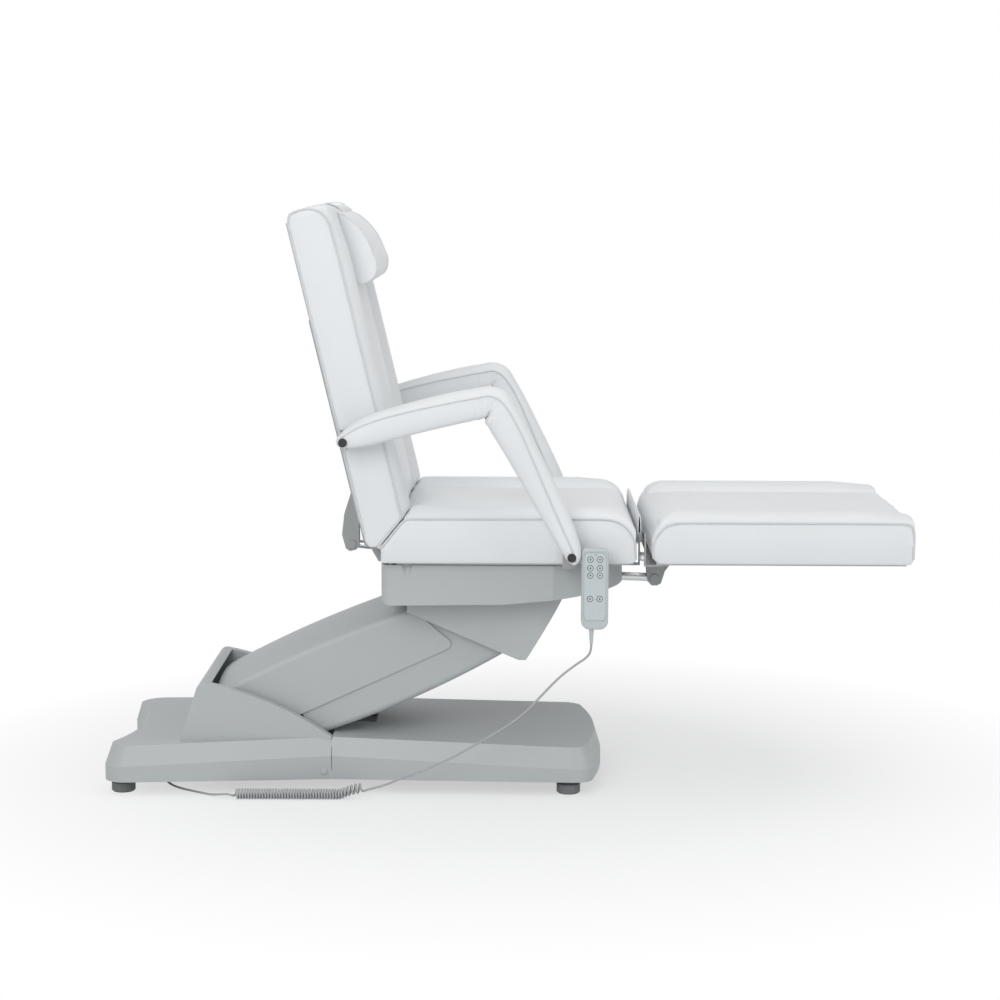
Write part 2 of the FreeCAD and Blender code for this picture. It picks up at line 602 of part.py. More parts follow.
def pivot_fork(root, low, high, reach):
    """Two plates beside a drive's eye, hanging from a cross bar."""
    outline = [(root.x - reach, high), (root.x - reach, root.z - 4), (root.x - 8, low), (root.x + 8, low),
               (root.x + reach, root.z - 4), (root.x + reach, high)]
    hole = [(root.x, root.z, "drive_pin_radius")]
    return [plate(outline, "fork_thick", root.y + y, hole)
            for y in (size.fork_gap, -size.fork_gap - size.fork_thick)]


def seat_frame():
    half, wide = size.seat_rail_half, size.seat_rail_width
    pieces = []
    for y in (half, -half - wide):
        corner = (RAIL_REAR, y, RAIL_LOW)
        pieces.append(tube("hinge_x + seat_front - rail_short", "seat_rail_width", "seat_rail_height",
                           corner))
    ear_reach = size.hinge_half + size.hinge_ear
    beyond = size.drive_offset + size.drive_room
    pieces.append(box("cross_width", "hinge_half + hinge_ear + drive_offset - drive_room",
                      "seat_rail_height", (RAIL_REAR, -ear_reach, RAIL_LOW)))
    pieces.append(box("cross_width", "hinge_half + hinge_ear - drive_offset - drive_room",
                      "seat_rail_height", (RAIL_REAR, beyond, RAIL_LOW)))
    for root, width in ((BACK_ROOT, "seat_rail_half * 2"), (LEG_ROOT,
                                                            "seat_rail_half + drive_offset - drive_room")):
        pieces.append(box("cross_width", width, "seat_rail_height - bar_raise",
                          (root.x - size.cross_width / 2, -half, RAIL_LOW + size.bar_raise)))
        pieces += pivot_fork(root, root.z - size.eye_radius, RAIL_LOW + size.bar_raise + 2, size.eye_radius)
    ear = [(RAIL_REAR, RAIL_LOW + 3), (RAIL_REAR + 24, RAIL_LOW + 3), (RAIL_REAR + 13, size.seat_bottom),
           (HINGE.x + 14, HINGE.z + 14), (HINGE.x - 12, HINGE.z + 14), (HINGE.x - 15, HINGE.z - 11),
           (HINGE.x - 2, size.seat_bottom - 2), (RAIL_REAR, size.seat_bottom - 2)]
    pieces += mirrored_plates(ear, "hinge_half", "hinge_ear", [(HINGE.x, HINGE.z, "hinge_pin")])
    tie = TOP + TIE
    drop = [(TOP.x - 70, RAIL_LOW + 10), (TOP.x - 26, TOP.z - 20), (tie.x - 14, tie.z - 20),
            (tie.x + 18, tie.z - 20), (TOP.x + 100, RAIL_LOW + 10)]
    holes = [(TOP.x, TOP.z, "shaft_radius"), (tie.x, tie.z, "tie_pin_radius")]
    pieces += mirrored_plates(drop, "lug_half", "lug_thick", holes)
    front = RAIL_REAR + size.hinge_x + size.seat_front - size.rail_short - 4
    for y in (size.lug_half, -size.seat_rail_half - 2):
        pieces.append(box("seat_rail_width * 2", "seat_rail_half - lug_half + 2", "seat_rail_height",
                          (TOP.x - 20, y, RAIL_LOW)))
    pieces.append(box("cross_width * 2", "leg_hinge_half * 2", "strap_low",
                      (front, -size.leg_hinge_half, STRAP_LOW)))
    for side in (1, -1):
        inner = size.leg_hinge_half - size.leaf_width / 2
        y = inner if side > 0 else -size.leg_hinge_half
        leaf_x = LEG_HINGE.x - size.knuckle_radius
        pieces.append(box("leaf_thick * 11", "leaf_width / 2", "strap_low",
                          (leaf_x + size.leaf_thick * (1 - 11), y, STRAP_LOW)))
        pieces.append(box("leaf_thick", "leaf_width / 2", "leaf_height", (leaf_x, y, STRAP_LOW)))
        barrel = rod("knuckle_radius", "leaf_width / 2", (LEG_HINGE.x, y, LEG_HINGE.z))
        pieces.append(barrel)
    bores = [rod("leg_pin", "leaf_width", (LEG_HINGE.x, y, LEG_HINGE.z))
             for y in (size.leg_hinge_half - size.leaf_width / 2,
                       -size.leg_hinge_half - size.leaf_width / 2)]
    node("seat_frame", cut(joined(pieces), group(bores)))


def seat_pins():
    """Shaft and tie pin of the lift, the drives' anchors and the two hinge lines."""
    reach = size.lug_half + size.lug_thick
    tie = TOP + TIE
    pins = [rod("shaft_radius", "lug_half * 2 + lug_thick * 2", (TOP.x, -reach, TOP.z)),
            rod("tie_pin_radius", "lug_half * 2 + lug_thick * 2", (tie.x, -reach, tie.z))]
    for root in (BACK_ROOT, LEG_ROOT):
        start = root.y - size.fork_gap - size.fork_thick
        pins.append(rod("drive_pin_radius", "fork_gap * 2 + fork_thick * 2", (root.x, start, root.z)))
    inner = size.hinge_half - size.hinge_ear - size.side_clearance
    for y in (inner, -size.hinge_half - size.hinge_ear):
        pins.append(rod("hinge_pin", "hinge_ear * 2 + side_clearance", (HINGE.x, y, HINGE.z)))
    for y in (size.leg_hinge_half - size.leaf_width / 2, -size.leg_hinge_half - size.leaf_width / 2):
        pins.append(rod("leg_pin", "leaf_width", (LEG_HINGE.x, y, LEG_HINGE.z)))
    node("seat_pivot_pins", group(pins))


def padded_section(bottom, seam):
    """Cross-section of a cushion: drawn-in sides, raised bolsters, channels and a crowned middle."""
    half, crest = size.cushion_half, seam + size.crest
    foot = Vector(0, half - size.draw_in, bottom - size.overrun)
    waist = Vector(0, half, (bottom + seam) / 2)
    edge = Vector(0, half - 3, seam)
    ridge = Vector(0, half - size.bolster / 2, crest)
    valley = Vector(0, half - size.bolster, seam + 4)
    dip = Vector(0, valley.y - 8, seam - 1)
    panel = Vector(0, valley.y - 18, seam + 3)
    middle = Vector(0, 0, seam + 3 + size.crown)
    right = [(foot, waist, edge), (edge, ridge, valley), (valley, dip, panel)]

    def flip(p):
        return Vector(0, -p.y, p.z)

    edges = [arc(*run) for run in right]
    edges.append(arc(panel, middle, flip(panel)))
    edges += [arc(flip(c), flip(b), flip(a)) for a, b, c in reversed(right)]
    edges.append(line(flip(foot), foot))
    return Part.Face(Part.Wire(edges))


def cushion(section, reach, outline):
    """A cushion cut to its side outline: the section run along X, met by the outline run along Y."""
    long_run = section.extrude(Vector(reach[1] - reach[0], 0, 0))
    long_run.translate(Vector(reach[0], 0, 0))
    half = size.cushion_half + 10
    side = outline.translated(Vector(0, -half, 0)).extrude(Vector(0, half * 2, 0))
    return long_run.common(side)


def round_corner(a, corner, b):
    """The arc that rounds a square corner, from a to b."""
    centre = a + b - corner
    middle = centre + (corner - centre).normalize() * (a - centre).Length
    return arc(a, middle, b)


def board_recess(rear, front, bottom):
    half = size.cushion_half - size.board_inset
    return Part.makeBox(front - rear, half * 2, size.board_thick, Vector(rear, -half, bottom))


def seat_board():
    half = size.cushion_half - size.board_inset
    corner = (BOARD_REAR, -half, size.seat_bottom)
    node("seat_board", box("hinge_x + seat_front - 56", "cushion_half * 2 - board_inset * 2",
                           "board_thick", corner))


def seat_cushion():
    bottom, top, front = size.seat_bottom, size.seat_seam + size.crest, size.seat_front
    nose, toe = size.nose_radius, 12
    rear = HINGE.x + size.mitre_gap
    run = (top - HINGE.z) / math.tan(MITRE)
    edges = [line(spot(rear, bottom), spot(front - toe, bottom)),
             round_corner(spot(front - toe, bottom), spot(front, bottom), spot(front, bottom + toe)),
             line(spot(front, bottom + toe), spot(front, top - nose)),
             round_corner(spot(front, top - nose), spot(front, top), spot(front - nose, top)),
             line(spot(front - nose, top), spot(rear + run, top)),
             line(spot(rear + run, top), spot(rear, HINGE.z)),
             line(spot(rear, HINGE.z), spot(rear, bottom))]
    shape = cushion(padded_section(bottom, size.seat_seam), (rear - 5, front + 5),
                    Part.Face(Part.Wire(edges)))
    board_end = BOARD_REAR + size.hinge_x + size.seat_front - 56
    cuts = [board_recess(BOARD_REAR, board_end, bottom)]
    pocket = size.hinge_half - size.hinge_ear - 10
    cuts += both_sides(75, 60, size.hinge_ear * 2 + 20, (HINGE.x - 16, pocket, bottom - 1))
    inner = size.leg_hinge_half - 5
    for y in (inner, -inner - size.leaf_width / 2 - 10):
        cuts.append(Part.makeCylinder(30, size.leaf_width / 2 + 10, Vector(LEG_HINGE.x, y, LEG_HINGE.z),
                                      Vector(0, 1, 0)))
    node("seat_cushion", shaped(shape.cut(cuts)))


def gap_flap():
    """Folded strip of upholstery that fills the gap in front of the seat."""
    half = size.leg_hinge_half - size.leaf_width / 2 - 6
    strip = Part.makeBox(8, half * 2, size.flap_height,
                         Vector(size.seat_front + 0.3, -half, size.seat_seam - size.flap_height))
    top = [e for e in strip.Edges if e.BoundBox.ZMin > size.seat_seam - 1]
    node("seat_gap_flap", shaped(strip.makeFillet(3.5, top)))


def tray_plan(inset):
    """Plan of the shroud: square rear with round corners, sides drawn in to the front mouth."""
    rear, front, half, r = -size.tray_rear + inset, size.tray_front, size.tray_half - inset, 22 - inset
    start, tip = size.tray_taper_start, size.tray_tip_half - inset
    bend = Vector((start + front) / 2 + 24, (half + tip) / 2 + 26, 0)
    far = [Vector(rear, half - r, 0), Vector(rear + r, half, 0), Vector(start, half, 0), bend,
           Vector(front, tip, 0)]
    near = [Vector(p.x, -p.y, 0) for p in far]
    edges = [round_corner(far[0], Vector(rear, half, 0), far[1]), line(far[1], far[2]), arc(*far[2:]),
             line(far[4], near[4]), arc(*reversed(near[2:])), line(near[2], near[1]),
             round_corner(near[1], Vector(rear, -half, 0), near[0]), line(near[0], far[0])]
    return Part.Face(Part.Wire(edges))


def tray_solid(inset):
    low, high = size.tray_bottom + inset, size.tray_top + (1 if inset else 0)
    plan = tray_plan(inset).translated(Vector(0, 0, low)).extrude(Vector(0, 0, high - low))
    rear, front, r = -size.tray_rear + inset, size.tray_front + 1, 18 - inset
    edges = [line(spot(rear, high), spot(rear, low + r)),
             round_corner(spot(rear, low + r), spot(rear, low), spot(rear + r, low)),
             line(spot(rear + r, low), spot(0, low + 3)),
             line(spot(0, low + 3), spot(front, low + size.tray_rise)),
             line(spot(front, low + size.tray_rise), spot(front, high)),
             line(spot(front, high), spot(rear, high))]
    half = size.tray_half + 1
    side = Part.Face(Part.Wire(edges)).translated(Vector(0, -half, 0)).extrude(Vector(0, half * 2, 0))
    return plan.common(side)


def skirt_solid(inset):
    """The part of the shroud that hangs round the lift's upper end: two sides and a leaning front."""
    half, r = size.skirt_half - inset, size.skirt_corner - inset
    rear, front = -size.skirt_rear - inset * 3, size.skirt_front + 6 - inset
    plan = [Vector(rear, half, 0), Vector(front - r, half, 0), Vector(front, half - r, 0)]
    edges = [line(plan[0], plan[1]), round_corner(plan[1], Vector(front, half, 0), plan[2]),
             line(plan[2], Vector(front, r - half, 0)),
             round_corner(Vector(front, r - half, 0), Vector(front, -half, 0),
                          Vector(front - r, -half, 0)),
             line(Vector(front - r, -half, 0), Vector(rear, -half, 0)),
             line(Vector(rear, -half, 0), plan[0])]
    upright = Part.Face(Part.Wire(edges)).translated(Vector(0, 0, 200)).extrude(Vector(0, 0, 240))
    drop = inset * 8
    tip = spot(size.skirt_tip_x - inset * 1.2, size.skirt_tip_z - drop)
    points = [spot(rear, size.tray_bottom + 6 + inset), spot(rear, size.tray_bottom - 28 - drop),
              tip + Vector(-12, 0, 4),
              tip + Vector(4, 0, 4), spot(size.skirt_front - inset * 1.2, size.tray_bottom - 6),
              spot(size.skirt_front + 6, size.tray_bottom + 14)]
    wide = size.skirt_half + 1
    side = polygon(points).translated(Vector(0, -wide, 0)).extrude(Vector(0, wide * 2, 0))
    return upright.common(side)


def seat_shroud():
    wall = size.tray_wall
    shell = tray_solid(0).fuse(skirt_solid(0)).cut(tray_solid(wall)).cut(skirt_solid(wall))
    mouth_half = size.tray_tip_half - wall
    cuts = [Part.makeBox(80, mouth_half * 2, 200, Vector(size.tray_front - 40, -mouth_half,
                                                         size.tray_bottom)),
            Part.makeBox(40, 80, 100, Vector(-size.tray_rear - 10, size.drive_offset - 40,
                                             size.tray_bottom + 20))]
    cuts.append(Part.makeBox(size.tray_front, size.drive_room * 2, 60,
                             Vector(size.tray_taper_start - 5, -size.drive_offset - size.drive_room,
                                    size.tray_bottom - 5)))
    throat = size.skirt_half - wall
    cuts.append(Part.makeBox(size.skirt_rear + size.skirt_front - 70, throat * 2, 40,
                             Vector(-size.skirt_rear, -throat, size.tray_bottom - 20)))
    x, z = -size.skirt_rear + 4, size.tray_top
    for y in (size.tray_half + 6, -size.tray_half - 6):
        taper = Part.makeCone(size.scoop_radius, 4, size.scoop_depth, Vector(x, y, z + 0.5),
                              Vector(0, 0, -1))
        cuts.append(taper)
    node("seat_shroud", shaped(shell.cut(cuts)))


seat_frame()
seat_pins()
seat_board()
seat_cushion()
gap_flap()
seat_shroud()


# Back: frame with its hinge ears and drive lever, board, cushion and head pillow
LYING = Placement(HINGE, Rotation(Vector(0, -1, 0), 90 + size.back_lean) * Rotation(Vector(1, 0, 0), 180))
LEVER = at(BACK, -size.lever_back, -size.lever_down, size.drive_offset)
BACK_BOARD_LOW = 62
BACK_BOARD_TOP = size.back_height - 22


def pin_heads(x, z, y):
    """The two heads of a pivot pin, on the outer faces of a fork."""
    outer = size.fork_gap + size.fork_thick
    return [rod("screw_radius", "screw_height", (x, y + side, z))
            for side in (outer, -outer - size.screw_height)]


def back_frame():
    rear = -size.back_rear
    behind = rear - size.strap_thick
    inner = size.hinge_half - size.hinge_ear - size.side_clearance
    ear = [(behind, 72), (behind, 8), (-10, -13), (13, -8), (13, 12), (-14, 34), (rear, 58), (rear, 72)]
    hole = [(0, 0, "hinge_pin + pin_clearance")]
    pieces = [plate(ear, "hinge_ear", y, hole) for y in (inner, -inner - size.hinge_ear)]
    for y in (inner - 18, -inner + 18 - size.strap_width):
        pieces.append(box("strap_thick", "strap_width", "back_height * 0.6", (behind, y, 60)))
    span = size.hinge_half
    for z in (66, size.back_height * 0.6):
        pieces.append(box("strap_thick", "hinge_half * 2", "strap_width", (behind, -span, z)))
    x, z = -size.lever_back, -size.lever_down
    lever = [(behind + 1, 110), (behind + 1, 66), (x + 26, 24), (x + 15, z - 8), (x + 6, z - 14),
             (x - 8, z - 14), (x - 15, z - 6), (x - 16, 8), (x, 52), (x + 24, 92)]
    for y in (size.fork_gap, -size.fork_gap - size.fork_thick):
        pieces.append(plate(lever, "fork_thick", size.drive_offset + y))
    pieces += pin_heads(x, z, size.drive_offset)
    node("back_frame", joined(pieces), BACK)


def back_board():
    half = size.cushion_half - size.board_inset
    item = box("back_height - 84", "cushion_half * 2 - board_inset * 2", "back_board", (0, 0, 0))
    node("back_board", item, LYING.multiply(Placement(Vector(BACK_BOARD_LOW, -half, -size.back_rear),
                                                      Rotation())))


def back_cushion():
    rear, front, top = -size.back_rear, size.back_seam + size.crest, size.back_height
    heel, brow, nape, gap = 20, 28, 19, size.mitre_gap
    run = front / math.tan(MITRE)
    edges = [line(spot(gap, rear + heel), spot(gap, 0)), line(spot(gap, 0), spot(gap + run, front)),
             line(spot(gap + run, front), spot(top - brow, front)),
             round_corner(spot(top - brow, front), spot(top, front), spot(top, front - brow)),
             line(spot(top, front - brow), spot(top, rear + nape)),
             round_corner(spot(top, rear + nape), spot(top, rear), spot(top - nape, rear)),
             line(spot(top - nape, rear), spot(gap + heel, rear)),
             round_corner(spot(gap + heel, rear), spot(gap, rear), spot(gap, rear + heel))]
    shape = cushion(padded_section(rear, size.back_seam), (-5, top + 5), Part.Face(Part.Wire(edges)))
    half = size.cushion_half - size.board_inset
    cuts = [Part.makeBox(BACK_BOARD_TOP - BACK_BOARD_LOW, half * 2, size.back_board,
                         Vector(BACK_BOARD_LOW, -half, rear))]
    pocket = size.hinge_half - size.hinge_ear - 10
    cuts += both_sides(BACK_BOARD_LOW + 20, 60, size.hinge_ear * 2 + 20, (-20, pocket, rear - 10))
    pivot = LYING.inverse().multVec(REAR_PIVOT)
    wide = size.cushion_half + 5
    cuts.append(Part.makeCylinder(size.boss_radius + 0.5, wide * 2, Vector(pivot.x, -wide, pivot.z),
                                  Vector(0, 1, 0)))
    core = Part.makeBox(80, half * 2, 200, Vector(pivot.x - 40, -half, -100))
    cuts[-1] = cuts[-1].cut(core)
    node("back_cushion", shaped(shape.cut(cuts)), LYING)


def pillow_wire(y, swell):
    """D-shaped section of the head pillow, flat against the back, fullest below its middle."""
    flat = size.back_seam + 3 + size.crown + 0.5
    top = size.back_height - size.pillow_top
    low = top - size.pillow_height
    full = flat + size.pillow_depth * swell
    p = [Vector(low + 8, y, flat), Vector(top, y, flat), Vector(top - 34, y, flat + 36 * swell),
         Vector(low + 58, y, full), Vector(low + 16, y, full - 5), Vector(low, y, flat + 18)]
    return Part.Wire([line(p[0], p[1]), arc(p[1], p[2], p[3]), arc(p[3], p[4], p[5]), line(p[5], p[0])])


def head_pillow():
    half = size.pillow_length / 2
    wires = [pillow_wire(-half, 0.9), pillow_wire(0, 1.0), pillow_wire(half, 0.9)]
    node("head_pillow", shaped(Part.makeLoft(wires, True, False)), LYING)


def pillow_strap():
    """Band that goes from the pillow over the top of the back and down its rear."""
    thick, top, rear = size.pillow_strap_thick, size.back_height, -size.back_rear
    start = size.back_seam + 3 + size.crown
    inner = [(top - 9.5, start + 3), (top + 1, start - 14), (top + 3, rear + 13), (top - 13, rear - 3.2),
             (top - 90, rear - 0.4)]
    outer = [(top - 90, rear - 0.4 - thick), (top - 11, rear - 3.2 - thick), (top + 3 + thick, rear + 11),
             (top + 1 + thick, start - 12), (top - 7, start + 5)]
    band = polygon([spot(x, z) for x, z in inner + outer])
    half = size.pillow_strap_width / 2
    node("pillow_strap", shaped(band.translated(Vector(0, -half, 0)).extrude(Vector(0, half * 2, 0))),
         LYING)


def rear_bosses():
    """Spacers between the back board's edges and the armrests' rear ends."""
    start = size.cushion_half - size.board_inset
    end = size.arm_side - size.arm_width / 2 - size.side_clearance
    bosses = [Part.makeCylinder(size.boss_radius, end - start, Vector(REAR_PIVOT.x, y, REAR_PIVOT.z),
                                Vector(0, 1, 0))
              for y in (start, -end)]
    node("armrest_rear_bosses", shaped(Part.makeCompound(bosses)))


# Leg rest
def leg_frame():
    strap, low = size.strap_low, STRAP_LOW
    rear = size.leg_rear + 1
    outer = size.leg_hinge_half + size.leaf_width / 2
    clear = size.side_clearance
    pieces = [box("bar_thick * 2.6", "leg_hinge_half * 2 + leaf_width", "strap_low", (rear, -outer, low))]
    for y in (120 - size.strap_width / 2, -120 - size.strap_width / 2):
        pieces.append(box("leg_front * 0.42", "strap_width", "strap_low", (rear, y, low)))
    x, z = size.leg_pin_x, size.leg_pin_z
    fork = [(rear, low + 1), (rear + 76, low + 1), (x + 22, z + 16), (x + 14, z - 10), (x + 6, z - 15),
            (x - 6, z - 15), (x - 15, z - 6)]
    for y in (size.fork_gap, -size.fork_gap - size.fork_thick):
        pieces.append(plate(fork, "fork_thick", y - size.drive_offset))
    pieces += pin_heads(x, z, -size.drive_offset)
    leaf_x = LEG_HINGE.x + size.knuckle_radius - size.leaf_thick
    for side in (1, -1):
        y = size.leg_hinge_half + clear if side > 0 else -outer
        width = "leaf_width / 2 - side_clearance"
        pieces.append(box("leg_rear - leg_hinge_x", width, "strap_low", (leaf_x, y, low)))
        pieces.append(box("leaf_thick", width, "leaf_height", (leaf_x, y, low)))
        pieces.append(rod("knuckle_radius", width, (LEG_HINGE.x, y, LEG_HINGE.z)))
    bores = [rod("leg_pin + pin_clearance", "leaf_width / 2", (LEG_HINGE.x, y, LEG_HINGE.z))
             for y in (size.leg_hinge_half, -outer)]
    node("legrest_frame", cut(joined(pieces), group(bores)))


def leg_board():
    half = size.cushion_half - size.board_inset
    corner = (size.leg_rear + 13, -half, size.seat_bottom)
    node("legrest_board", box("leg_front - leg_rear - 29", "cushion_half * 2 - board_inset * 2",
                              "board_thick", corner))


def leg_cushion():
    bottom, top, rear, front = size.seat_bottom, size.leg_seam + size.crest, size.leg_rear, size.leg_front
    nose, toe, heel = size.nose_radius, 12, 24
    edges = [line(spot(rear + heel, bottom), spot(front - toe, bottom)),
             round_corner(spot(front - toe, bottom), spot(front, bottom), spot(front, bottom + toe)),
             line(spot(front, bottom + toe), spot(front, top - toe)),
             round_corner(spot(front, top - toe), spot(front, top), spot(front - toe, top)),
             line(spot(front - toe, top), spot(rear + nose, top)),
             round_corner(spot(rear + nose, top), spot(rear, top), spot(rear, top - nose)),
             line(spot(rear, top - nose), spot(rear, bottom + heel)),
             round_corner(spot(rear, bottom + heel), spot(rear, bottom), spot(rear + heel, bottom))]
    shape = cushion(padded_section(bottom, size.leg_seam), (rear - 5, front + 5),
                    Part.Face(Part.Wire(edges)))
    recess = board_recess(rear + 13, front - 16, bottom)
    node("legrest_cushion", shaped(shape.cut(recess)))


REAR_PIVOT = Vector(-size.rear_pivot_x, 0, size.rear_pivot_z)
ELBOW = Vector(-size.elbow_x, 0, size.elbow_z)
FRONT_PIVOT = Vector(size.front_pivot_x, 0, size.front_pivot_z)
back_frame()
back_board()
back_cushion()
head_pillow()
pillow_strap()
rear_bosses()
drive("back", BACK_ROOT, LEVER, size.back_travel, True)
leg_frame()
leg_board()
leg_cushion()
drive("leg", LEG_ROOT, Vector(size.leg_pin_x, -size.drive_offset, size.leg_pin_z), size.leg_travel, True)


# Armrests: a padded arm between the back and an elbow, and a padded strut down to the seat
ARM_RUN = (ELBOW - REAR_PIVOT).Length
STRUT_RUN = (FRONT_PIVOT - ELBOW).Length
ARM_TILT = math.degrees(math.atan2(ELBOW.z - REAR_PIVOT.z, ELBOW.x - REAR_PIVOT.x))
STRUT_TILT = math.degrees(math.atan2(FRONT_PIVOT.z - ELBOW.z, FRONT_PIVOT.x - ELBOW.x))
ALONG_ARM = tilted(REAR_PIVOT.x, REAR_PIVOT.z, ARM_TILT)
ALONG_STRUT = tilted(ELBOW.x, ELBOW.z, STRUT_TILT)
SIDES = (("right", -1), ("left", 1))
ARM_HALF = size.arm_width / 2


def across(side, inner, outer):
    """The start along Y of a layer of one armrest, given outwards from the armrest's middle."""
    return size.arm_side + inner if side > 0 else -size.arm_side - outer


def layer(face, side, inner, outer):
    """A flat face given a thickness: a layer of one armrest."""
    start = across(side, inner, outer)
    return face.translated(Vector(0, start, 0)).extrude(Vector(0, outer - inner, 0))


def on_circle(centre, radius, angle):
    turn = math.radians(angle)
    return Vector(centre + radius * math.cos(turn), 0, radius * math.sin(turn))


def arm_outline():
    """Side view of the arm pad: pointed at the rear, round about the elbow."""
    end, knuckle, under = ARM_RUN, size.elbow_radius, size.arm_under
    low_turn = math.degrees(math.asin(-under / knuckle))
    tip = size.arm_tip_radius
    top_rear = spot(80, knuckle - 4)
    edges = [line(spot(0, -tip), on_circle(end, knuckle, low_turn)),
             arc(on_circle(end, knuckle, low_turn), on_circle(end, knuckle, 40),
                 on_circle(end, knuckle, 90)), line(on_circle(end, knuckle, 90), top_rear),
             arc(top_rear, spot(22, 30), spot(-tip, 4)),
             arc(spot(-tip, 4), spot(-tip * 0.7, -tip * 0.7), spot(0, -tip))]
    return Part.Face(Part.Wire(edges))


def strut_outline():
    """Side view of the strut pad: a hollow end about the elbow, tapered to the seat."""
    end, hollow = STRUT_RUN, size.elbow_radius + 1
    shoulder = on_circle(0, hollow, 65)
    heel = on_circle(0, hollow, -11)
    tip = size.arm_tip_radius - 2
    brow, knee = spot(24, hollow + 1), spot(end - 42, 31)
    edges = [line(shoulder, brow), arc(brow, spot(150, hollow + 3), knee),
             line(knee, spot(end + 6, tip - 1)),
             arc(spot(end + 6, tip - 1), spot(end + tip, 0), spot(end, -tip)), line(spot(end, -tip), heel)]
    edges.append(arc(heel, on_circle(0, hollow, 27), shoulder))
    return Part.Face(Part.Wire(edges))


def padded(face, side):
    """The outline at full width, its rims rounded over."""
    block = layer(face, side, -ARM_HALF, ARM_HALF)
    rims = [edge for edge in block.Edges if edge.BoundBox.YLength < 0.01]
    return block.makeFillet(size.pad_round, rims)


def bar_face(start, end):
    half = size.arm_bar_depth / 2
    return polygon([spot(start, -half), spot(end, -half), spot(end, half), spot(start, half)])


def armrest(name, side):
    """The four pieces of one armrest: two steel bars, each with its black screw, and two pads."""
    thick, pin, clear, head = size.arm_bar_thick, size.arm_pin, size.pin_clearance, size.screw_radius
    shank, ahead = head - 1, size.arm_bar_depth / 2
    axis = Vector(0, 1, 0)

    def stud(radius, along, inner, outer):
        return Part.makeCylinder(radius, outer - inner, Vector(along, across(side, inner, outer), 0), axis)

    arm_bar = layer(bar_face(-ahead, ARM_RUN + ahead), side, -thick - 1, -1)
    arm_bar = arm_bar.cut(stud(pin + clear, ARM_RUN, -thick - 1, -1))
    rear_screw = stud(shank, 0, -1, ARM_HALF).fuse(stud(head, 0, ARM_HALF, ARM_HALF + size.screw_height))
    arm_bar = arm_bar.fuse(rear_screw).removeSplitter()
    strut_bar = layer(bar_face(-ahead, STRUT_RUN + ahead), side, 1, thick + 1)
    strut_bar = strut_bar.cut(stud(pin + clear, STRUT_RUN, 1, thick + 1))
    front_screw = stud(shank, STRUT_RUN, thick + 1, ARM_HALF)
    front_head = stud(head, STRUT_RUN, ARM_HALF, ARM_HALF + size.screw_height)
    strut_bar = strut_bar.fuse([stud(pin, 0, -thick - 1, 1), front_screw, front_head]).removeSplitter()
    sweep = polygon([spot(ARM_RUN - 12, 9), spot(ARM_RUN, 13), spot(ARM_RUN + 70, 12),
                     spot(ARM_RUN + 70, -50), spot(ARM_RUN + 14, -66), spot(ARM_RUN - 14, -40)])
    swing = layer(sweep, side, 0.5, thick + 1.5)
    elbow_hole = stud(pin + 1, ARM_RUN, -thick - 1.5, 1)
    arm_pad = padded(arm_outline(), side).cut([arm_bar, swing, elbow_hole])
    seat_hole = stud(pin + 1, STRUT_RUN, -ARM_HALF, thick + 1)
    strut_pad = layer(strut_outline(), side, -ARM_HALF, ARM_HALF).cut([strut_bar, seat_hole])
    node(f"arm_bar_{name}", shaped(arm_bar), ALONG_ARM)
    node(f"arm_pad_{name}", shaped(arm_pad), ALONG_ARM)
    node(f"strut_bar_{name}", shaped(strut_bar), ALONG_STRUT)
    node(f"strut_pad_{name}", shaped(strut_pad), ALONG_STRUT)


def armrest_brackets():
    """Straps from the seat rails out to the struts' lower pivots."""
    rail = size.seat_rail_half + size.seat_rail_width
    face = size.arm_side - ARM_HALF - size.side_clearance
    plate_y = face - size.bracket_boss
    x, z, thick = FRONT_PIVOT.x, FRONT_PIVOT.z, size.bracket_thick
    both = []
    for name, side in SIDES:
        def out(length, inner):
            return inner if side > 0 else -inner - length
        strap = Part.makeBox(26, plate_y - rail, size.strap_low,
                             Vector(x - 13, out(plate_y - rail, rail), STRAP_LOW))
        upright = Part.makeBox(34, thick, z + 16 - STRAP_LOW,
                               Vector(x - 17, out(thick, plate_y - thick), STRAP_LOW))
        axis = Vector(0, 1, 0)
        boss = Part.makeCylinder(size.boss_radius - 3, size.bracket_boss,
                                 Vector(x, out(size.bracket_boss, plate_y), z), axis)
        reach = size.arm_side + size.arm_bar_thick + 0.5 - plate_y
        stud = Part.makeCylinder(size.arm_pin, reach, Vector(x, out(reach, plate_y), z), axis)
        both.append(strap.fuse([upright, boss, stud]).removeSplitter())
    node("armrest_brackets", shaped(Part.makeCompound(both)))


for name, side in SIDES:
    armrest(name, side)
armrest_brackets()


# Handset: case, keys and the hook that it hangs on
HANDSET_FACE = -size.handset_face
KEY_ROWS = (21.4, 38.8, 54, 102)
KEY_COLUMN = 9.7


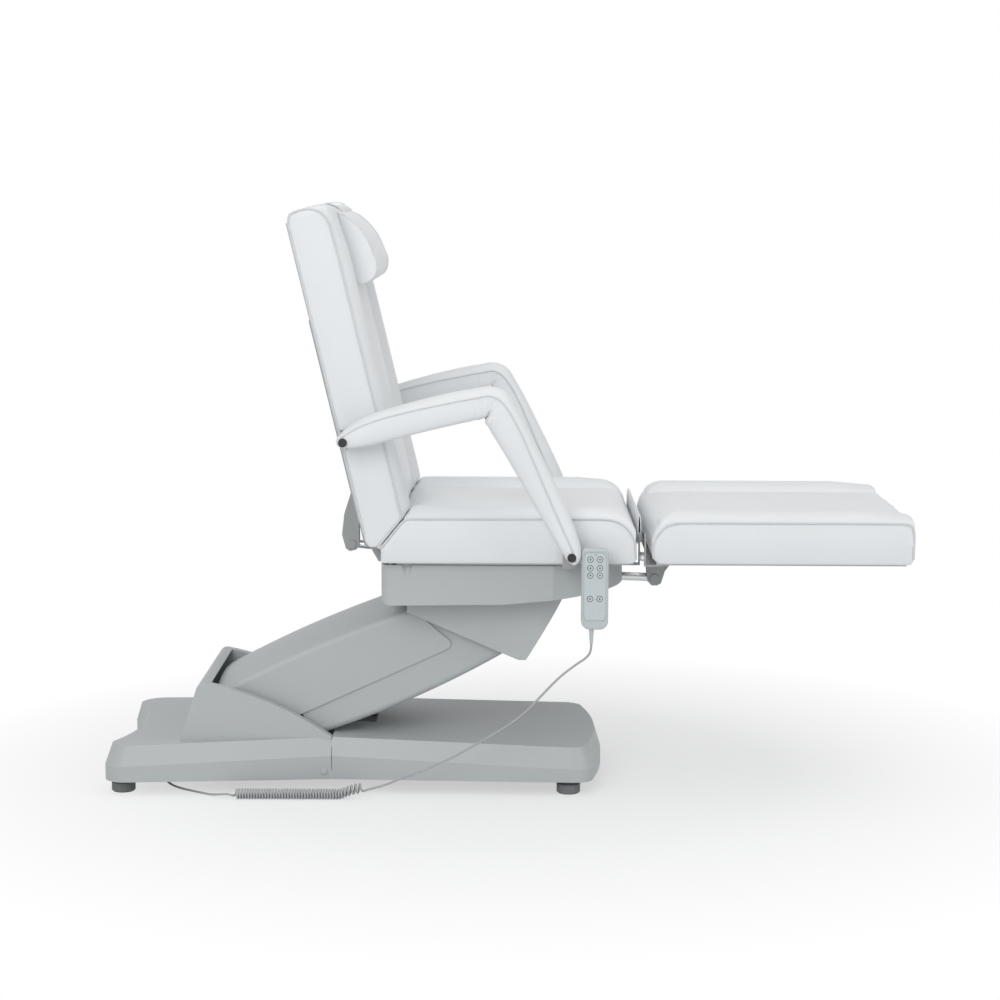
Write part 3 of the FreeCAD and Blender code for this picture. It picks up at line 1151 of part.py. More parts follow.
def handset_case():
    """A slim case with a sunk key panel, eight key wells, a lip that hangs on the hook and a cord relief."""
    wide, tall, deep, face = size.handset_width, size.handset_height, size.handset_depth, HANDSET_FACE
    left, low, top = size.handset_x - wide / 2, size.handset_z, size.handset_z + tall
    block = Part.makeBox(wide, deep, tall, Vector(left, face, low))
    corners = [e for e in block.Edges if e.BoundBox.YLength > deep - 1 and e.BoundBox.ZMax < low + 1]
    block = block.makeFillet(size.handset_corner, corners)
    corners = [e for e in block.Edges if e.BoundBox.YLength > deep - 1 and e.BoundBox.ZMin > top - 1]
    block = block.makeFillet(size.handset_corner / 2, corners)
    rims = [e for e in block.Edges if e.BoundBox.YMax < face + 0.01]
    block = block.makeFillet(size.handset_rim, rims)
    panel = Part.makeBox(wide - 10, size.panel_depth, tall - 24, Vector(left + 5, face, low + 18))
    panel = panel.makeFillet(6, [e for e in panel.Edges if e.BoundBox.YLength > size.panel_depth / 2])
    block = block.cut(panel)
    hook_face = hook_plate_y()
    rear, lip, behind = face + deep, size.hook_lip, hook_face + size.hook_thick + 0.3
    middle = size.handset_x - size.hook_width / 2 + 2
    clip_wide = size.hook_width - 4
    bridge_low = size.hook_top + 0.3
    pieces = [Part.makeBox(clip_wide, hook_face - 0.3 - rear, 40,
                           Vector(middle, rear, bridge_low + lip - 40)),
              Part.makeBox(clip_wide, behind + lip - rear, lip, Vector(middle, rear, bridge_low)),
              Part.makeBox(clip_wide, lip, 22, Vector(middle, behind, bridge_low + lip - 22))]
    block = block.fuse(pieces).removeSplitter()
    wells = []
    for x, z in key_spots():
        radius = size.key_radius + size.key_clearance
        wells.append(Part.makeCylinder(radius, size.well_depth, Vector(x, face + size.panel_depth, z),
                                       Vector(0, 1, 0)))
    relief = Part.makeCone(size.cord_radius + 1, size.relief_radius, size.relief_length,
                           Vector(size.handset_x - 6, face + deep / 2, low - size.relief_length),
                           Vector(0, 0, 1))
    relief = relief.fuse(Part.makeCylinder(size.relief_radius, 3,
                                           Vector(size.handset_x - 6, face + deep / 2, low),
                                           Vector(0, 0, 1)))
    node("handset_case", shaped(block.cut(wells).fuse(relief).removeSplitter()))


def hook_plate_y():
    """The hook's outer face: the handset's rear stands off it by its clip."""
    return HANDSET_FACE + size.handset_depth + size.clip_stand


def key_spots():
    top = size.handset_z + size.handset_height
    return [(size.handset_x + column, top - row) for row in KEY_ROWS
            for column in (-KEY_COLUMN, KEY_COLUMN)]


def keys():
    for number, (x, z) in enumerate(key_spots(), start=1):
        front = HANDSET_FACE + size.panel_depth - size.key_height
        item = doc.addObject("Part::Cylinder", f"key_{number}")
        bind(item, Radius=cells("key_radius"), Height=cells("well_depth + key_height - key_travel - 0.2"))
        node(f"key_{number}", item, Placement(Vector(x, front, z), Y_AXIS))


def handset_hook():
    """A bent strap under the seat's edge that the handset hangs on."""
    rail, thick, width = size.seat_rail_half + size.seat_rail_width, size.hook_thick, size.hook_width
    left, plate_y = size.handset_x - width / 2, hook_plate_y()
    strap = Part.makeBox(width, -rail - plate_y, thick,
                         Vector(left, plate_y, size.seat_bottom - thick - 0.4))
    upright = Part.makeBox(width, thick, size.hook_top - size.seat_bottom + thick + 0.4,
                           Vector(left, plate_y, size.seat_bottom - thick - 0.4))
    node("handset_hook", shaped(strap.fuse(upright).removeSplitter()))


handset_case()
keys()
handset_hook()


# Handset cord: a hanging run, then a curled part on the floor whose tail goes up into a gland
HANG = ((177, -347, 331), (166, -346, 317), (147, -343, 304), (112, -338, 276), (71, -330, 230),
        (44, -325, 200), (14, -320, 175), (-26, -312, 148), (-60, -307, 126), (-94, -302, 105),
        (-127, -297, 87), (-160, -292, 71), (-192, -286, 57), (-222, -280, 45), (-243, -275, 34))
TAIL = ((-724, -170, 23), (-719, -175, 14.5), (-706, -184, 7.5), (-688, -195, 4), (-664, -211, 2.9),
        (-640, -228, 2.8), (-617, -246, 3.4), (-600, -260, 6.6), (-587, -268.4, 10.2))
CURL_START = Vector(-572, -270, 11.4)
GLAND = Vector(-724, -170, 30)
OPEN_TURNS = 6
LEAD_TURNS = 1.25


def eased(value):
    value = min(max(value, 0), 1)
    return value * value * (3 - 2 * value)


def curl_points():
    """Points and directions on the curled part, a half turn apart: wound in, tight, opening, wound out."""
    steps = 40
    tight_end = LEAD_TURNS + size.curl_count
    open_end = tight_end + OPEN_TURNS
    total = open_end + LEAD_TURNS
    fine = []
    x = CURL_START.x
    count = round(total * steps)
    for k in range(-1, count + 2):
        turn = k / steps
        lead_in, lead_out = eased(turn / LEAD_TURNS), eased((total - turn) / LEAD_TURNS)
        opening = eased((turn - tight_end) / OPEN_TURNS)
        radius = size.curl_radius * lead_in * lead_out
        angle = turn * 2 * math.pi
        y = CURL_START.y + radius * math.cos(angle)
        z = CURL_START.z + size.curl_climb * opening + radius * math.sin(angle)
        fine.append(Vector(x, y, z))
        pitch = size.curl_pitch + size.curl_spread * opening + size.curl_lead * (2 - lead_in - lead_out)
        x += pitch / steps
    chosen = range(1, count + 2, steps // 4)
    points = [fine[k] for k in chosen]
    ways = [(fine[k + 1] - fine[k - 1]).normalize() for k in chosen]
    return points, ways


def bend(start, way, end):
    """The arc that leaves start along way and reaches end."""
    chord = end - start
    side = way - chord * (way.dot(chord) / chord.dot(chord))
    if side.Length < 1e-4:
        return line(start, end)
    half_turn = math.atan2(side.Length, way.dot(chord) / chord.Length)
    middle = start + chord * 0.5 + side.normalize() * (chord.Length / 2 * math.tan(half_turn / 2))
    return arc(start, middle, end)


def two_arcs(start, way, end, last):
    """A pair of arcs that leaves start along way and reaches end along last."""
    chord, both = end - start, way + last
    spread = 2 * (1 - way.dot(last))
    along = chord.dot(both)
    if spread < 1e-6:
        reach = chord.dot(chord) / (4 * chord.dot(last))
    else:
        reach = (math.sqrt(along * along + spread * chord.dot(chord)) - along) / spread
    middle = (start + end + (way - last) * reach) * 0.5
    backwards = bend(end, last * -1, middle)
    return [bend(start, way, middle), backwards]


def cord_route(points):
    """Straight runs joined by arcs, each as large as its two runs allow."""
    edges, radii = [], []
    here = points[0]
    for before, corner, after in zip(points, points[1:], points[2:]):
        back_way, on_way = (before - corner), (after - corner)
        reach = 0.45 * min(back_way.Length, on_way.Length)
        turn = math.pi - back_way.getAngle(on_way)
        radii.append(reach / math.tan(turn / 2))
        first, second = corner + back_way.normalize() * reach, corner + on_way.normalize() * reach
        edges.append(line(here, first))
        edges.append(bend(first, back_way * -1, second))
        here = second
    edges.append(line(here, points[-1]))
    return edges, radii


def cord_tube(label, edges, radii):
    path = Part.Wire(Part.__sortEdges__(edges))
    start = path.OrderedVertexes[0].Point
    first = path.OrderedEdges[0]
    near = first.FirstParameter
    if (first.valueAt(near) - start).Length > 0.01:
        near = first.LastParameter
    ring = Part.Wire(Part.makeCircle(size.cord_radius, start, first.tangentAt(near)))
    solid = path.makePipeShell([ring], True, False)
    expected = math.pi * size.cord_radius ** 2 * path.Length
    print(label, "length", round(path.Length), "volume ratio", round(solid.Volume / expected, 4),
          "radii", [round(r) for r in radii])
    node(label, shaped(solid))
    return path


def least_gap(path):
    """The smallest space between the tube and itself, from points along its path."""
    spots = path.discretize(Distance=1.5)
    least = 1000
    for k, here in enumerate(spots):
        for other in spots[k + 16:k + 90]:
            least = min(least, (here - other).Length)
    return least - 2 * size.cord_radius


def cords():
    points, ways = curl_points()
    curls = []
    for k in range(len(points) - 1):
        curls += two_arcs(points[k], ways[k], points[k + 1], ways[k + 1])
    straight = size.cord_radius * 2
    tail_end = points[0] - ways[0] * straight
    tail_edges, tail_radii = cord_route([GLAND] + [Vector(*p) for p in TAIL] + [tail_end, points[0]])
    coil_end = points[-1] + ways[-1] * straight
    curls.append(line(points[-1], coil_end))
    path = cord_tube("cord_coil", tail_edges + curls, tail_radii)
    print("least gap between curls", round(least_gap(path), 2))
    start = Vector(size.handset_x - 6, HANDSET_FACE + size.handset_depth / 2,
                   size.handset_z - size.relief_length)
    lead = coil_end + ways[-1] * straight * 2
    edges, radii = cord_route([start] + [Vector(*p) for p in HANG] + [lead, coil_end])
    cord_tube("cord_run", edges, radii)
    print("curled end", coil_end, "way", ways[-1])


def cord_gland():
    """A gland under the base's side rail, where the cord goes in."""
    body = rod("gland_radius", "gland_height", GLAND, Rotation())
    node("cord_gland", body)


cords()
cord_gland()


# Check every object and write the parts
doc.recompute()
for item in doc.Objects:
    if "Invalid" in item.State or "Error" in item.State:
        raise SystemExit(f"{item.Label} failed: {item.State}")
os.makedirs("parts", exist_ok=True)
for item in nodes:
    shape = item.Shape
    if shape.isNull() or not shape.isValid():
        raise SystemExit(f"{item.Label} has no valid shape")
for item in nodes:
    item.Shape.exportStep(f"parts/{item.Label}.step")
    box_of = item.Shape.BoundBox
    print(f"{item.Label}: {len(item.Shape.Solids)} solids, {item.Shape.Volume / 1000:.1f} cm3,",
          f"x {box_of.XMin:.0f} {box_of.XMax:.0f}, y {box_of.YMin:.0f} {box_of.YMax:.0f},",
          f"z {box_of.ZMin:.0f} {box_of.ZMax:.0f}")
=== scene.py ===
# %% [markdown]
# # A beauty treatment chair
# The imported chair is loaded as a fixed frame. This script dresses it: it makes the padded
# covers, the piping, the curly cord and the small fittings, and gives every piece a material.

# %% Load the frame
import json
import math
import bmesh
import bpy
from mathutils import Matrix, Vector
from mathutils.bvhtree import BVHTree


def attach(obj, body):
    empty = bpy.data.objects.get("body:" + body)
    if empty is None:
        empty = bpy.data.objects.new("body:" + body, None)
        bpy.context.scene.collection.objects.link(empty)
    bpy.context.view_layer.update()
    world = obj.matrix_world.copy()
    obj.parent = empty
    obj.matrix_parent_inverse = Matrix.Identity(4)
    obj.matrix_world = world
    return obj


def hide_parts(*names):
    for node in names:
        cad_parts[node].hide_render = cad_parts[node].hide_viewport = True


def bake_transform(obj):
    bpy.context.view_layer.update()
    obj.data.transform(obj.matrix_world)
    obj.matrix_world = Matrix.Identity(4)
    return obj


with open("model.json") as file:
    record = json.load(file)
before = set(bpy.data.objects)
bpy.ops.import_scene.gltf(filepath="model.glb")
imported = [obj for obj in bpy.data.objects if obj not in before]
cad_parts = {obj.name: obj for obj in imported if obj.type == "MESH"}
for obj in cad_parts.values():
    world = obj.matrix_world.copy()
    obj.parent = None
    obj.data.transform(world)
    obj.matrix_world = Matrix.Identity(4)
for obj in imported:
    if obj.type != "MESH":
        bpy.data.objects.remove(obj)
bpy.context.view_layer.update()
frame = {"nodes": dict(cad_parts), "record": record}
NODES = frame["nodes"]
MM = 0.001
SIDES = (("right", -1), ("left", 1))
print("nodes loaded:", len(NODES))

# %% [markdown]
# ## Helpers
# Each helper does one job: to select one object alone, to make a curve into a tube,
# or to read the smooth line of a curve.


# %% Object helpers
def only(item):
    """Makes one object the selected and active one."""
    bpy.ops.object.select_all(action="DESELECT")
    item.select_set(True)
    bpy.context.view_layer.objects.active = item
    return item


def link(name, data):
    item = bpy.data.objects.new(name, data)
    bpy.context.scene.collection.objects.link(item)
    return only(item)


def apply_all(item):
    """Applies every modifier of an object, in order."""
    only(item)
    for change in list(item.modifiers):
        bpy.ops.object.modifier_apply(modifier=change.name)
    return item


def metres(points):
    return [Vector(point) * MM for point in points]


def clamped(value):
    """Keeps a share between nought and one."""
    return min(1.0, max(0.0, value))


def nurbs(name, points):
    """A smooth curve with the points given as its control points."""
    data = bpy.data.curves.new(name, "CURVE")
    data.dimensions = "3D"
    line = data.splines.new("NURBS")
    line.points.add(len(points) - 1)
    for spot, place in zip(line.points, points):
        spot.co = (*place, 1.0)
    line.order_u = 3
    line.use_endpoint_u = True
    line.resolution_u = 4
    return link(name, data)


def smooth_line(curve):
    """The points of a curve's smooth line, before it has any thickness."""
    mesh = bpy.data.meshes.new_from_object(curve)
    points = [vertex.co.copy() for vertex in mesh.vertices]
    bpy.data.meshes.remove(mesh)
    return points


def tube(curve, radius, rounds=2):
    """Turns a curve into a mesh tube."""
    curve.data.bevel_depth = radius
    curve.data.bevel_resolution = rounds
    curve.data.use_fill_caps = True
    only(curve)
    bpy.ops.object.convert(target="MESH")
    bpy.ops.object.shade_smooth()
    return bpy.context.object


# %% [markdown]
# ## Shader helper
# A Shade wraps one socket of a shader tree, so that textures can be added and multiplied
# like plain numbers.


# %% Shader helper
class Shade:
    """One shader socket with arithmetic."""

    def __init__(self, tree, socket):
        self.tree = tree
        self.socket = socket

    def through(self, kind, inputs, output=0, **settings):
        """Adds any other node; a value in inputs is a plain value or a Shade."""
        node = self.tree.nodes.new("ShaderNode" + kind)
        for name, value in settings.items():
            setattr(node, name, value)
        for key, value in inputs.items():
            if isinstance(value, Shade):
                self.tree.links.new(value.socket, node.inputs[key])
            else:
                node.inputs[key].default_value = value
        return Shade(self.tree, node.outputs[output])

    def maths(self, kind, first, second):
        return self.through("Math", {0: first, 1: second}, operation=kind)

    def __add__(self, other):
        return self.maths("ADD", self, other)

    def __radd__(self, other):
        return self.maths("ADD", other, self)

    def __mul__(self, other):
        return self.maths("MULTIPLY", self, other)

    def __rmul__(self, other):
        return self.maths("MULTIPLY", other, self)


class Finish:
    """A material under construction: its shader, its place in space and a few textures."""

    def __init__(self, name, colour, roughness, metallic=0.0):
        self.material = bpy.data.materials.new(name)
        self.material.use_nodes = True
        self.tree = self.material.node_tree
        self.shader = self.tree.nodes["Principled BSDF"]
        self.colour = (*colour, 1.0)
        self.shader.inputs["Base Color"].default_value = self.colour
        self.shader.inputs["Roughness"].default_value = roughness
        self.shader.inputs["Metallic"].default_value = metallic
        self.material.diffuse_color = self.colour
        coordinates = self.tree.nodes.new("ShaderNodeTexCoord")
        self.place = Shade(self.tree, coordinates.outputs["Object"])

    def noise(self, scale, detail=3.0, place=None):
        inputs = {"Vector": place or self.place, "Scale": scale, "Detail": detail}
        return self.place.through("TexNoise", inputs, "Fac")

    def cells(self, scale):
        inputs = {"Vector": self.place, "Scale": scale}
        return self.place.through("TexVoronoi", inputs, "Distance")

    def stretched(self, x, y, z):
        """The place in space, stretched by different amounts along the axes."""
        return self.place.through("Mapping", {"Vector": self.place, "Scale": (x, y, z)})

    def mix(self, factor, first, second):
        inputs = {"Factor": factor, 6: first, 7: second}
        return self.place.through("Mix", inputs, 2, data_type="RGBA")

    def feed(self, socket, value):
        self.tree.links.new(value.socket, self.shader.inputs[socket])

    def bump(self, height, strength, depth):
        inputs = {"Height": height, "Strength": strength, "Distance": depth}
        self.feed("Normal", self.place.through("Bump", inputs))

    def shaded(self, amount, pattern):
        """Lets the colour vary by a pattern, darker by the amount given at most."""
        dark = (*(value * (1 - amount) for value in self.colour[:3]), 1.0)
        self.feed("Base Color", self.mix(pattern, self.colour, dark))


print("helpers ready")

# %% [markdown]
# ## Camera, floor and light
# The camera stands five metres to the chair's right side and looks a little down. The floor
# is white and fades into a white room, and large soft lamps leave gentle shadows.

# %% Camera
lens = bpy.data.cameras.new("camera")
lens.sensor_width = 36.0
lens.lens = 84.06
lens.shift_x = -0.012
camera = bpy.data.objects.new("camera", lens)
bpy.context.scene.collection.objects.link(camera)
CAMERA_PLACE = Vector((0.014, -5.0311, 1.24))
CAMERA_DIP = math.radians(7.273)
CAMERA_ROLL = math.radians(0.25)
turn = Matrix.Rotation(math.pi / 2 - CAMERA_DIP, 4, "X") @ Matrix.Rotation(CAMERA_ROLL, 4, "Z")
camera.matrix_world = Matrix.Translation(CAMERA_PLACE) @ turn
bpy.context.scene.camera = camera
bpy.context.scene.view_settings.view_transform = "Standard"
print("camera at", tuple(round(value, 3) for value in camera.location))


# %% Floor and room
def seen_rays(tree):
    """One for rays from the camera or off a glossy surface, nought for the others."""
    rays = tree.nodes.new("ShaderNodeLightPath")
    return Shade(tree, rays.outputs["Is Camera Ray"]) + Shade(tree, rays.outputs["Is Glossy Ray"])


FLOOR_SIZE = 24
FADE_START = 0.6
FADE_END = 1.35
FADE_LOW = 0.55
AMBIENT = 0.45
bpy.ops.mesh.primitive_plane_add(size=FLOOR_SIZE)
floor = bpy.context.object
floor.name = "floor"
paper = Finish("floor_paper", (0.86, 0.87, 0.88), 0.9)
paper.bump(paper.noise(400.0), 0.05, 0.0005)
glow = paper.tree.nodes.new("ShaderNodeEmission")
glow.inputs["Color"].default_value = (1.0, 1.0, 1.0, 1.0)
glow.inputs["Strength"].default_value = 1.0
blend_in = paper.tree.nodes.new("ShaderNodeMixShader")
seen = seen_rays(paper.tree)
away = paper.place.through("VectorMath", {0: paper.place}, "Value", operation="LENGTH")
fade = away.through("MapRange", {"Value": away, "From Min": FADE_START, "From Max": FADE_END,
                                 "To Min": FADE_LOW, "To Max": 1.0})
paper.tree.links.new((seen * fade).socket, blend_in.inputs[0])
paper.tree.links.new(paper.shader.outputs[0], blend_in.inputs[1])
paper.tree.links.new(glow.outputs[0], blend_in.inputs[2])
paper.tree.links.new(blend_in.outputs[0], paper.tree.nodes["Material Output"].inputs["Surface"])
floor.data.materials.append(paper.material)

room = bpy.data.worlds.new("room")
room.use_nodes = True
sky = room.node_tree.nodes["Background"]
strength = AMBIENT + seen_rays(room.node_tree) * (1.0 - AMBIENT)
room.node_tree.links.new(strength.socket, sky.inputs["Strength"])
sky.inputs["Color"].default_value = (1.0, 1.0, 1.0, 1.0)
bpy.context.scene.world = room
print("floor and room made")


# %% Lamps
def lamp(name, place, target, size, power):
    """A square soft lamp that looks at a target."""
    data = bpy.data.lights.new(name, "AREA")
    data.size = size
    data.energy = power
    item = bpy.data.objects.new(name, data)
    item.location = place
    item.rotation_euler = (Vector(target) - Vector(place)).to_track_quat("-Z", "Y").to_euler()
    bpy.context.scene.collection.objects.link(item)


lamp("top_lamp", (0.2, -0.6, 3.6), (0.0, 0.0, 0.5), 3.2, 26)
lamp("front_lamp", (-1.6, -4.4, 2.6), (0.0, 0.0, 0.5), 2.6, 80)
lamp("side_lamp", (3.4, -1.8, 2.0), (0.2, 0.0, 0.5), 2.0, 24)
print("lamps made")

# %% [markdown]
# ## The handset cord
# The cord leaves the handset, hangs to the floor beside the base, runs through forty-three
# curls and goes in under the base. The curls are points of the cord's own line. It is made
# in two lengths: one from under the base, through the curls and partway up, the other from there to the
# seat.

# %% Cord route
CORD_THICK = 4.6
HANG = [(177, -347, 348), (177, -347, 331), (166, -346, 317), (147, -343, 304), (112, -338, 276),
        (71, -330, 230), (44, -325, 200), (14, -320, 175), (-26, -312, 148), (-60, -307, 126),
        (-94, -302, 105), (-127, -297, 87), (-160, -292, 71), (-192, -286, 57), (-222, -280, 45),
        (-243, -275, 34)]
TAIL = [(-724, -170, 30), (-724, -170, 23), (-719, -175, 14.5), (-706, -184, 7.5), (-688, -195, 4),
        (-664, -211, 2.9), (-640, -228, 2.8), (-617, -246, 3.4), (-602, -259, 6.4)]
CURL_START = Vector((-587, -270, 11.4))
CURL_RADIUS = 9.1
CURL_PITCH = 5.9
OPEN_PITCH = 3.4
OPEN_RISE = 12
LEAD_TURNS = 1.25
LEAD_SWEEP = LEAD_TURNS / 2
LEAD_PITCH = 33.0
TIGHT_TURNS = 36
OPEN_TURNS = 6
TOTAL_TURNS = TIGHT_TURNS + OPEN_TURNS + 2 * LEAD_TURNS
STEPS = 40


def eased(value):
    """Goes smoothly from nought to one."""
    value = clamped(value)
    return value * value * (3 - 2 * value)


def curls():
    """Points along the curls, from the tail's end to the hanging run's start."""
    points = []
    x = CURL_START.x
    for step in range(int(TOTAL_TURNS * STEPS) + 1):
        turns = step / STEPS
        lead_in = eased(turns / LEAD_TURNS)
        lead_out = eased((TOTAL_TURNS - turns) / LEAD_TURNS)
        opening = eased((turns - LEAD_TURNS - TIGHT_TURNS) / OPEN_TURNS)
        radius = CURL_RADIUS * lead_in * lead_out
        swept = min(max(turns, LEAD_TURNS), TOTAL_TURNS - LEAD_TURNS)
        if turns < LEAD_TURNS:
            swept -= LEAD_SWEEP * (1 - (turns / LEAD_TURNS) ** 2)
        if turns > TOTAL_TURNS - LEAD_TURNS:
            swept += LEAD_SWEEP * (1 - ((TOTAL_TURNS - turns) / LEAD_TURNS) ** 2)
        angle = 2 * math.pi * swept
        y = CURL_START.y + radius * math.cos(angle)
        z = CURL_START.z + OPEN_RISE * opening + radius * math.sin(angle)
        points.append((x, y, z))
        x += (CURL_PITCH + OPEN_PITCH * opening + LEAD_PITCH * (2 - lead_in - lead_out)) / STEPS
    return points


# Fewer points are kept at both leads, so that the cord bends gently into the curls.
LEAD_STEPS = [8, 16, 22, 28, 33, 38, 42, 46, 50]
LEAD_END = 52
every = curls()
last = len(every) - 1
chosen = LEAD_STEPS + list(range(LEAD_END, last - LEAD_END + 1, 2))
chosen += [last - step for step in reversed(LEAD_STEPS)]
COILED = [every[number] for number in chosen]
print("curls end at", tuple(round(value, 1) for value in COILED[-1]))

# %% Cord material
cord_skin = Finish("cord_skin", (0.44, 0.455, 0.46), 0.42)
cord_skin.shaded(0.16, cord_skin.noise(90.0))
cord_skin.feed("Roughness", 0.36 + 0.16 * cord_skin.noise(240.0))
cord_skin.bump(cord_skin.noise(1500.0), 0.12, 0.0002)


# %% Cord pieces
def cord_piece(name, points, nodes):
    """One length of the cord: a mesh tube on the smooth line of its control points."""
    curve = nurbs(name, metres(points))
    line = smooth_line(curve)
    piece = tube(curve, CORD_THICK * MM / 2, 2)
    piece.data.materials.append(cord_skin.material)
    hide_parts(*nodes)
    return piece


RUN_UP = HANG[:0:-1]
SPLIT = 7
JOIN = (Vector(RUN_UP[SPLIT - 1]) + Vector(RUN_UP[SPLIT])) / 2
floor_cord = cord_piece("cord_floor_part", TAIL + COILED + RUN_UP[:SPLIT] + [tuple(JOIN)],
                        ["cord_coil"])
hung_cord = cord_piece("cord_hanging_part", [tuple(JOIN)] + RUN_UP[SPLIT:] + [HANG[0]], ["cord_run"])
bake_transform(floor_cord)
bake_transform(hung_cord)

# %% [markdown]
# ## Materials
# The covers are white leathercloth with a fine pebbled grain. The mouldings are cool grey
# plastic with a spark-eroded texture. The steelwork is painted or zinc-plated.

# %% Leathercloth
leather = Finish("white_leathercloth", (0.80, 0.82, 0.835), 0.44)
wrinkle = leather.noise(34.0, 4.0)
pebble = leather.cells(620.0)
leather.shaded(0.05, leather.noise(6.0))
leather.feed("Roughness", 0.36 + 0.16 * leather.noise(60.0) + 0.10 * pebble)
leather.bump(0.7 * pebble + 0.9 * wrinkle, 0.22, 0.0012)
leather.shader.inputs["Coat Weight"].default_value = 0.08
leather.shader.inputs["Coat Roughness"].default_value = 0.35

# The piping is painted a darker grey than the white cover: painted shade for the shadow line along each
# seam.
welt_painted_shade = Finish("welt_leathercloth_painted_shade", (0.68, 0.70, 0.715), 0.42)
welt_painted_shade.shaded(0.08, welt_painted_shade.noise(150.0))
welt_painted_shade.bump(welt_painted_shade.cells(700.0), 0.25, 0.0006)

# %% Plastics and rubber
moulding = Finish("grey_moulding", (0.475, 0.502, 0.508), 0.46)
moulding.shaded(0.05, moulding.noise(5.0))
moulding.feed("Roughness", 0.42 + 0.12 * moulding.noise(90.0))
moulding.bump(moulding.noise(1400.0, 2.0), 0.10, 0.0003)

handset_skin = Finish("handset_plastic", (0.51, 0.56, 0.572), 0.40)
handset_skin.shaded(0.04, handset_skin.noise(40.0))
handset_skin.bump(handset_skin.noise(2200.0, 2.0), 0.08, 0.0002)

key_skin = Finish("key_plastic", (0.58, 0.625, 0.635), 0.30)
key_skin.shaded(0.10, key_skin.noise(300.0))

rubber = Finish("foot_rubber", (0.20, 0.21, 0.21), 0.62)
rubber.shaded(0.25, rubber.noise(60.0))
rubber.bump(rubber.noise(900.0), 0.3, 0.0004)

motor_case = Finish("motor_plastic", (0.060, 0.063, 0.066), 0.5)
motor_case.shaded(0.3, motor_case.noise(30.0))
motor_case.bump(motor_case.noise(1200.0), 0.15, 0.0003)

# %% Metals and board
paint = Finish("painted_steel", (0.40, 0.412, 0.416), 0.42)
paint.shaded(0.12, paint.noise(18.0))
paint.feed("Roughness", 0.34 + 0.2 * paint.noise(70.0))
paint.bump(paint.noise(700.0), 0.12, 0.0003)

bright = Finish("plated_steel", (0.66, 0.67, 0.68), 0.26, 1.0)
bright.feed("Roughness", 0.18 + 0.22 * bright.noise(120.0, 4.0, bright.stretched(1.0, 8.0, 8.0)))
bright.bump(bright.noise(500.0, 2.0, bright.stretched(1.0, 6.0, 6.0)), 0.06, 0.0002)

black_screw = Finish("black_screw", (0.022, 0.022, 0.024), 0.36)
black_screw.shaded(0.4, black_screw.noise(400.0))

backing = Finish("backing_cloth", (0.62, 0.63, 0.64), 0.75)
backing.shaded(0.12, backing.noise(40.0, 4.0))
backing.bump(backing.cells(900.0), 0.3, 0.0005)

SLOT_FINISH = {"upholstery": leather, "moulding": moulding, "frame_steel": paint, "bright_steel": bright,
               "drive_case": motor_case, "board": backing, "foot_rubber": rubber,
               "handset": handset_skin, "key": key_skin, "screw": black_screw, "cord": cord_skin}
print("materials:", len(SLOT_FINISH))

# %% Materials on the carried-over nodes
for row in frame["record"]["subparts"]:
    item = NODES[row["node"]]
    item.data.materials.clear()
    item.data.materials.append(SLOT_FINISH[row["material_slot"]].material)
print("nodes with a finish:", len(NODES))

# %% [markdown]
# ## Padded covers
# A cushion starts from the shape its solid holds, a little smaller. Its underside, its rims
# and its sewn channels are held, and cloth simulation blows the rest up, as the foam does.

# %% Cushion frames
LEAN = math.radians(13.5)
UP_BACK = Vector((-math.sin(LEAN), 0.0, math.cos(LEAN)))
OUT_BACK = Vector((math.cos(LEAN), 0.0, math.sin(LEAN)))
HINGE = Vector((-0.2605, 0.0, 0.531))


def frame_of(origin, along, out):
    """A frame in millimetres: along a cushion, across it and out of its face."""
    across = Vector((0.0, 1.0, 0.0))
    columns = (along * MM, across * MM, out * MM, origin)
    return Matrix([[column[row] for column in columns] for row in range(3)]).to_4x4()


FLAT = frame_of(Vector((0.0, 0.0, 0.0)), Vector((1.0, 0.0, 0.0)), Vector((0.0, 0.0, 1.0)))
BACK = frame_of(HINGE, UP_BACK, OUT_BACK)
print("back frame's origin:", tuple(round(value, 3) for value in BACK.translation))


# %% Swelling
CLOTH_FRAMES = 20


def copy_of(name, node):
    """A new object with a copy of a node's mesh."""
    item = link(name, NODES[node].data.copy())
    item.data.materials.clear()
    return item


def voxelled(item, voxel, inset):
    """Remeshes an object evenly and draws its surface in by the inset."""
    change = item.modifiers.new("voxels", "REMESH")
    change.mode = "VOXEL"
    change.voxel_size = voxel
    soften = item.modifiers.new("soften", "SMOOTH")
    soften.factor = 0.5
    soften.iterations = 2
    draw_in = item.modifiers.new("draw_in", "DISPLACE")
    draw_in.strength = -inset
    draw_in.mid_level = 0.0
    return apply_all(item)


def swell(item, held, cap, pressure=4.0):
    """Blows a closed mesh up with cloth simulation; held gives the share of a point that stays."""
    start = [vertex.co.copy() for vertex in item.data.vertices]
    group = item.vertex_groups.new(name="held")
    for vertex in item.data.vertices:
        group.add([vertex.index], held(vertex.co), "REPLACE")
    cloth = item.modifiers.new("cloth", "CLOTH")
    rules = cloth.settings
    rules.quality = 4
    rules.mass = 0.25
    rules.tension_stiffness = 12
    rules.compression_stiffness = 12
    rules.shear_stiffness = 4
    rules.bending_stiffness = 0.4
    rules.use_pressure = True
    rules.uniform_pressure_force = pressure
    rules.vertex_group_mass = "held"
    rules.effector_weights.gravity = 0.0
    cloth.collision_settings.use_collision = False
    cloth.point_cache.frame_start = 1
    cloth.point_cache.frame_end = CLOTH_FRAMES
    for step in range(1, CLOTH_FRAMES + 1):
        bpy.context.scene.frame_set(step)
    apply_all(item)
    bpy.context.scene.frame_set(1)
    for vertex, place in zip(item.data.vertices, start):
        move = vertex.co - place
        if move.length > cap:
            vertex.co = place + move * (cap / move.length)
    return item


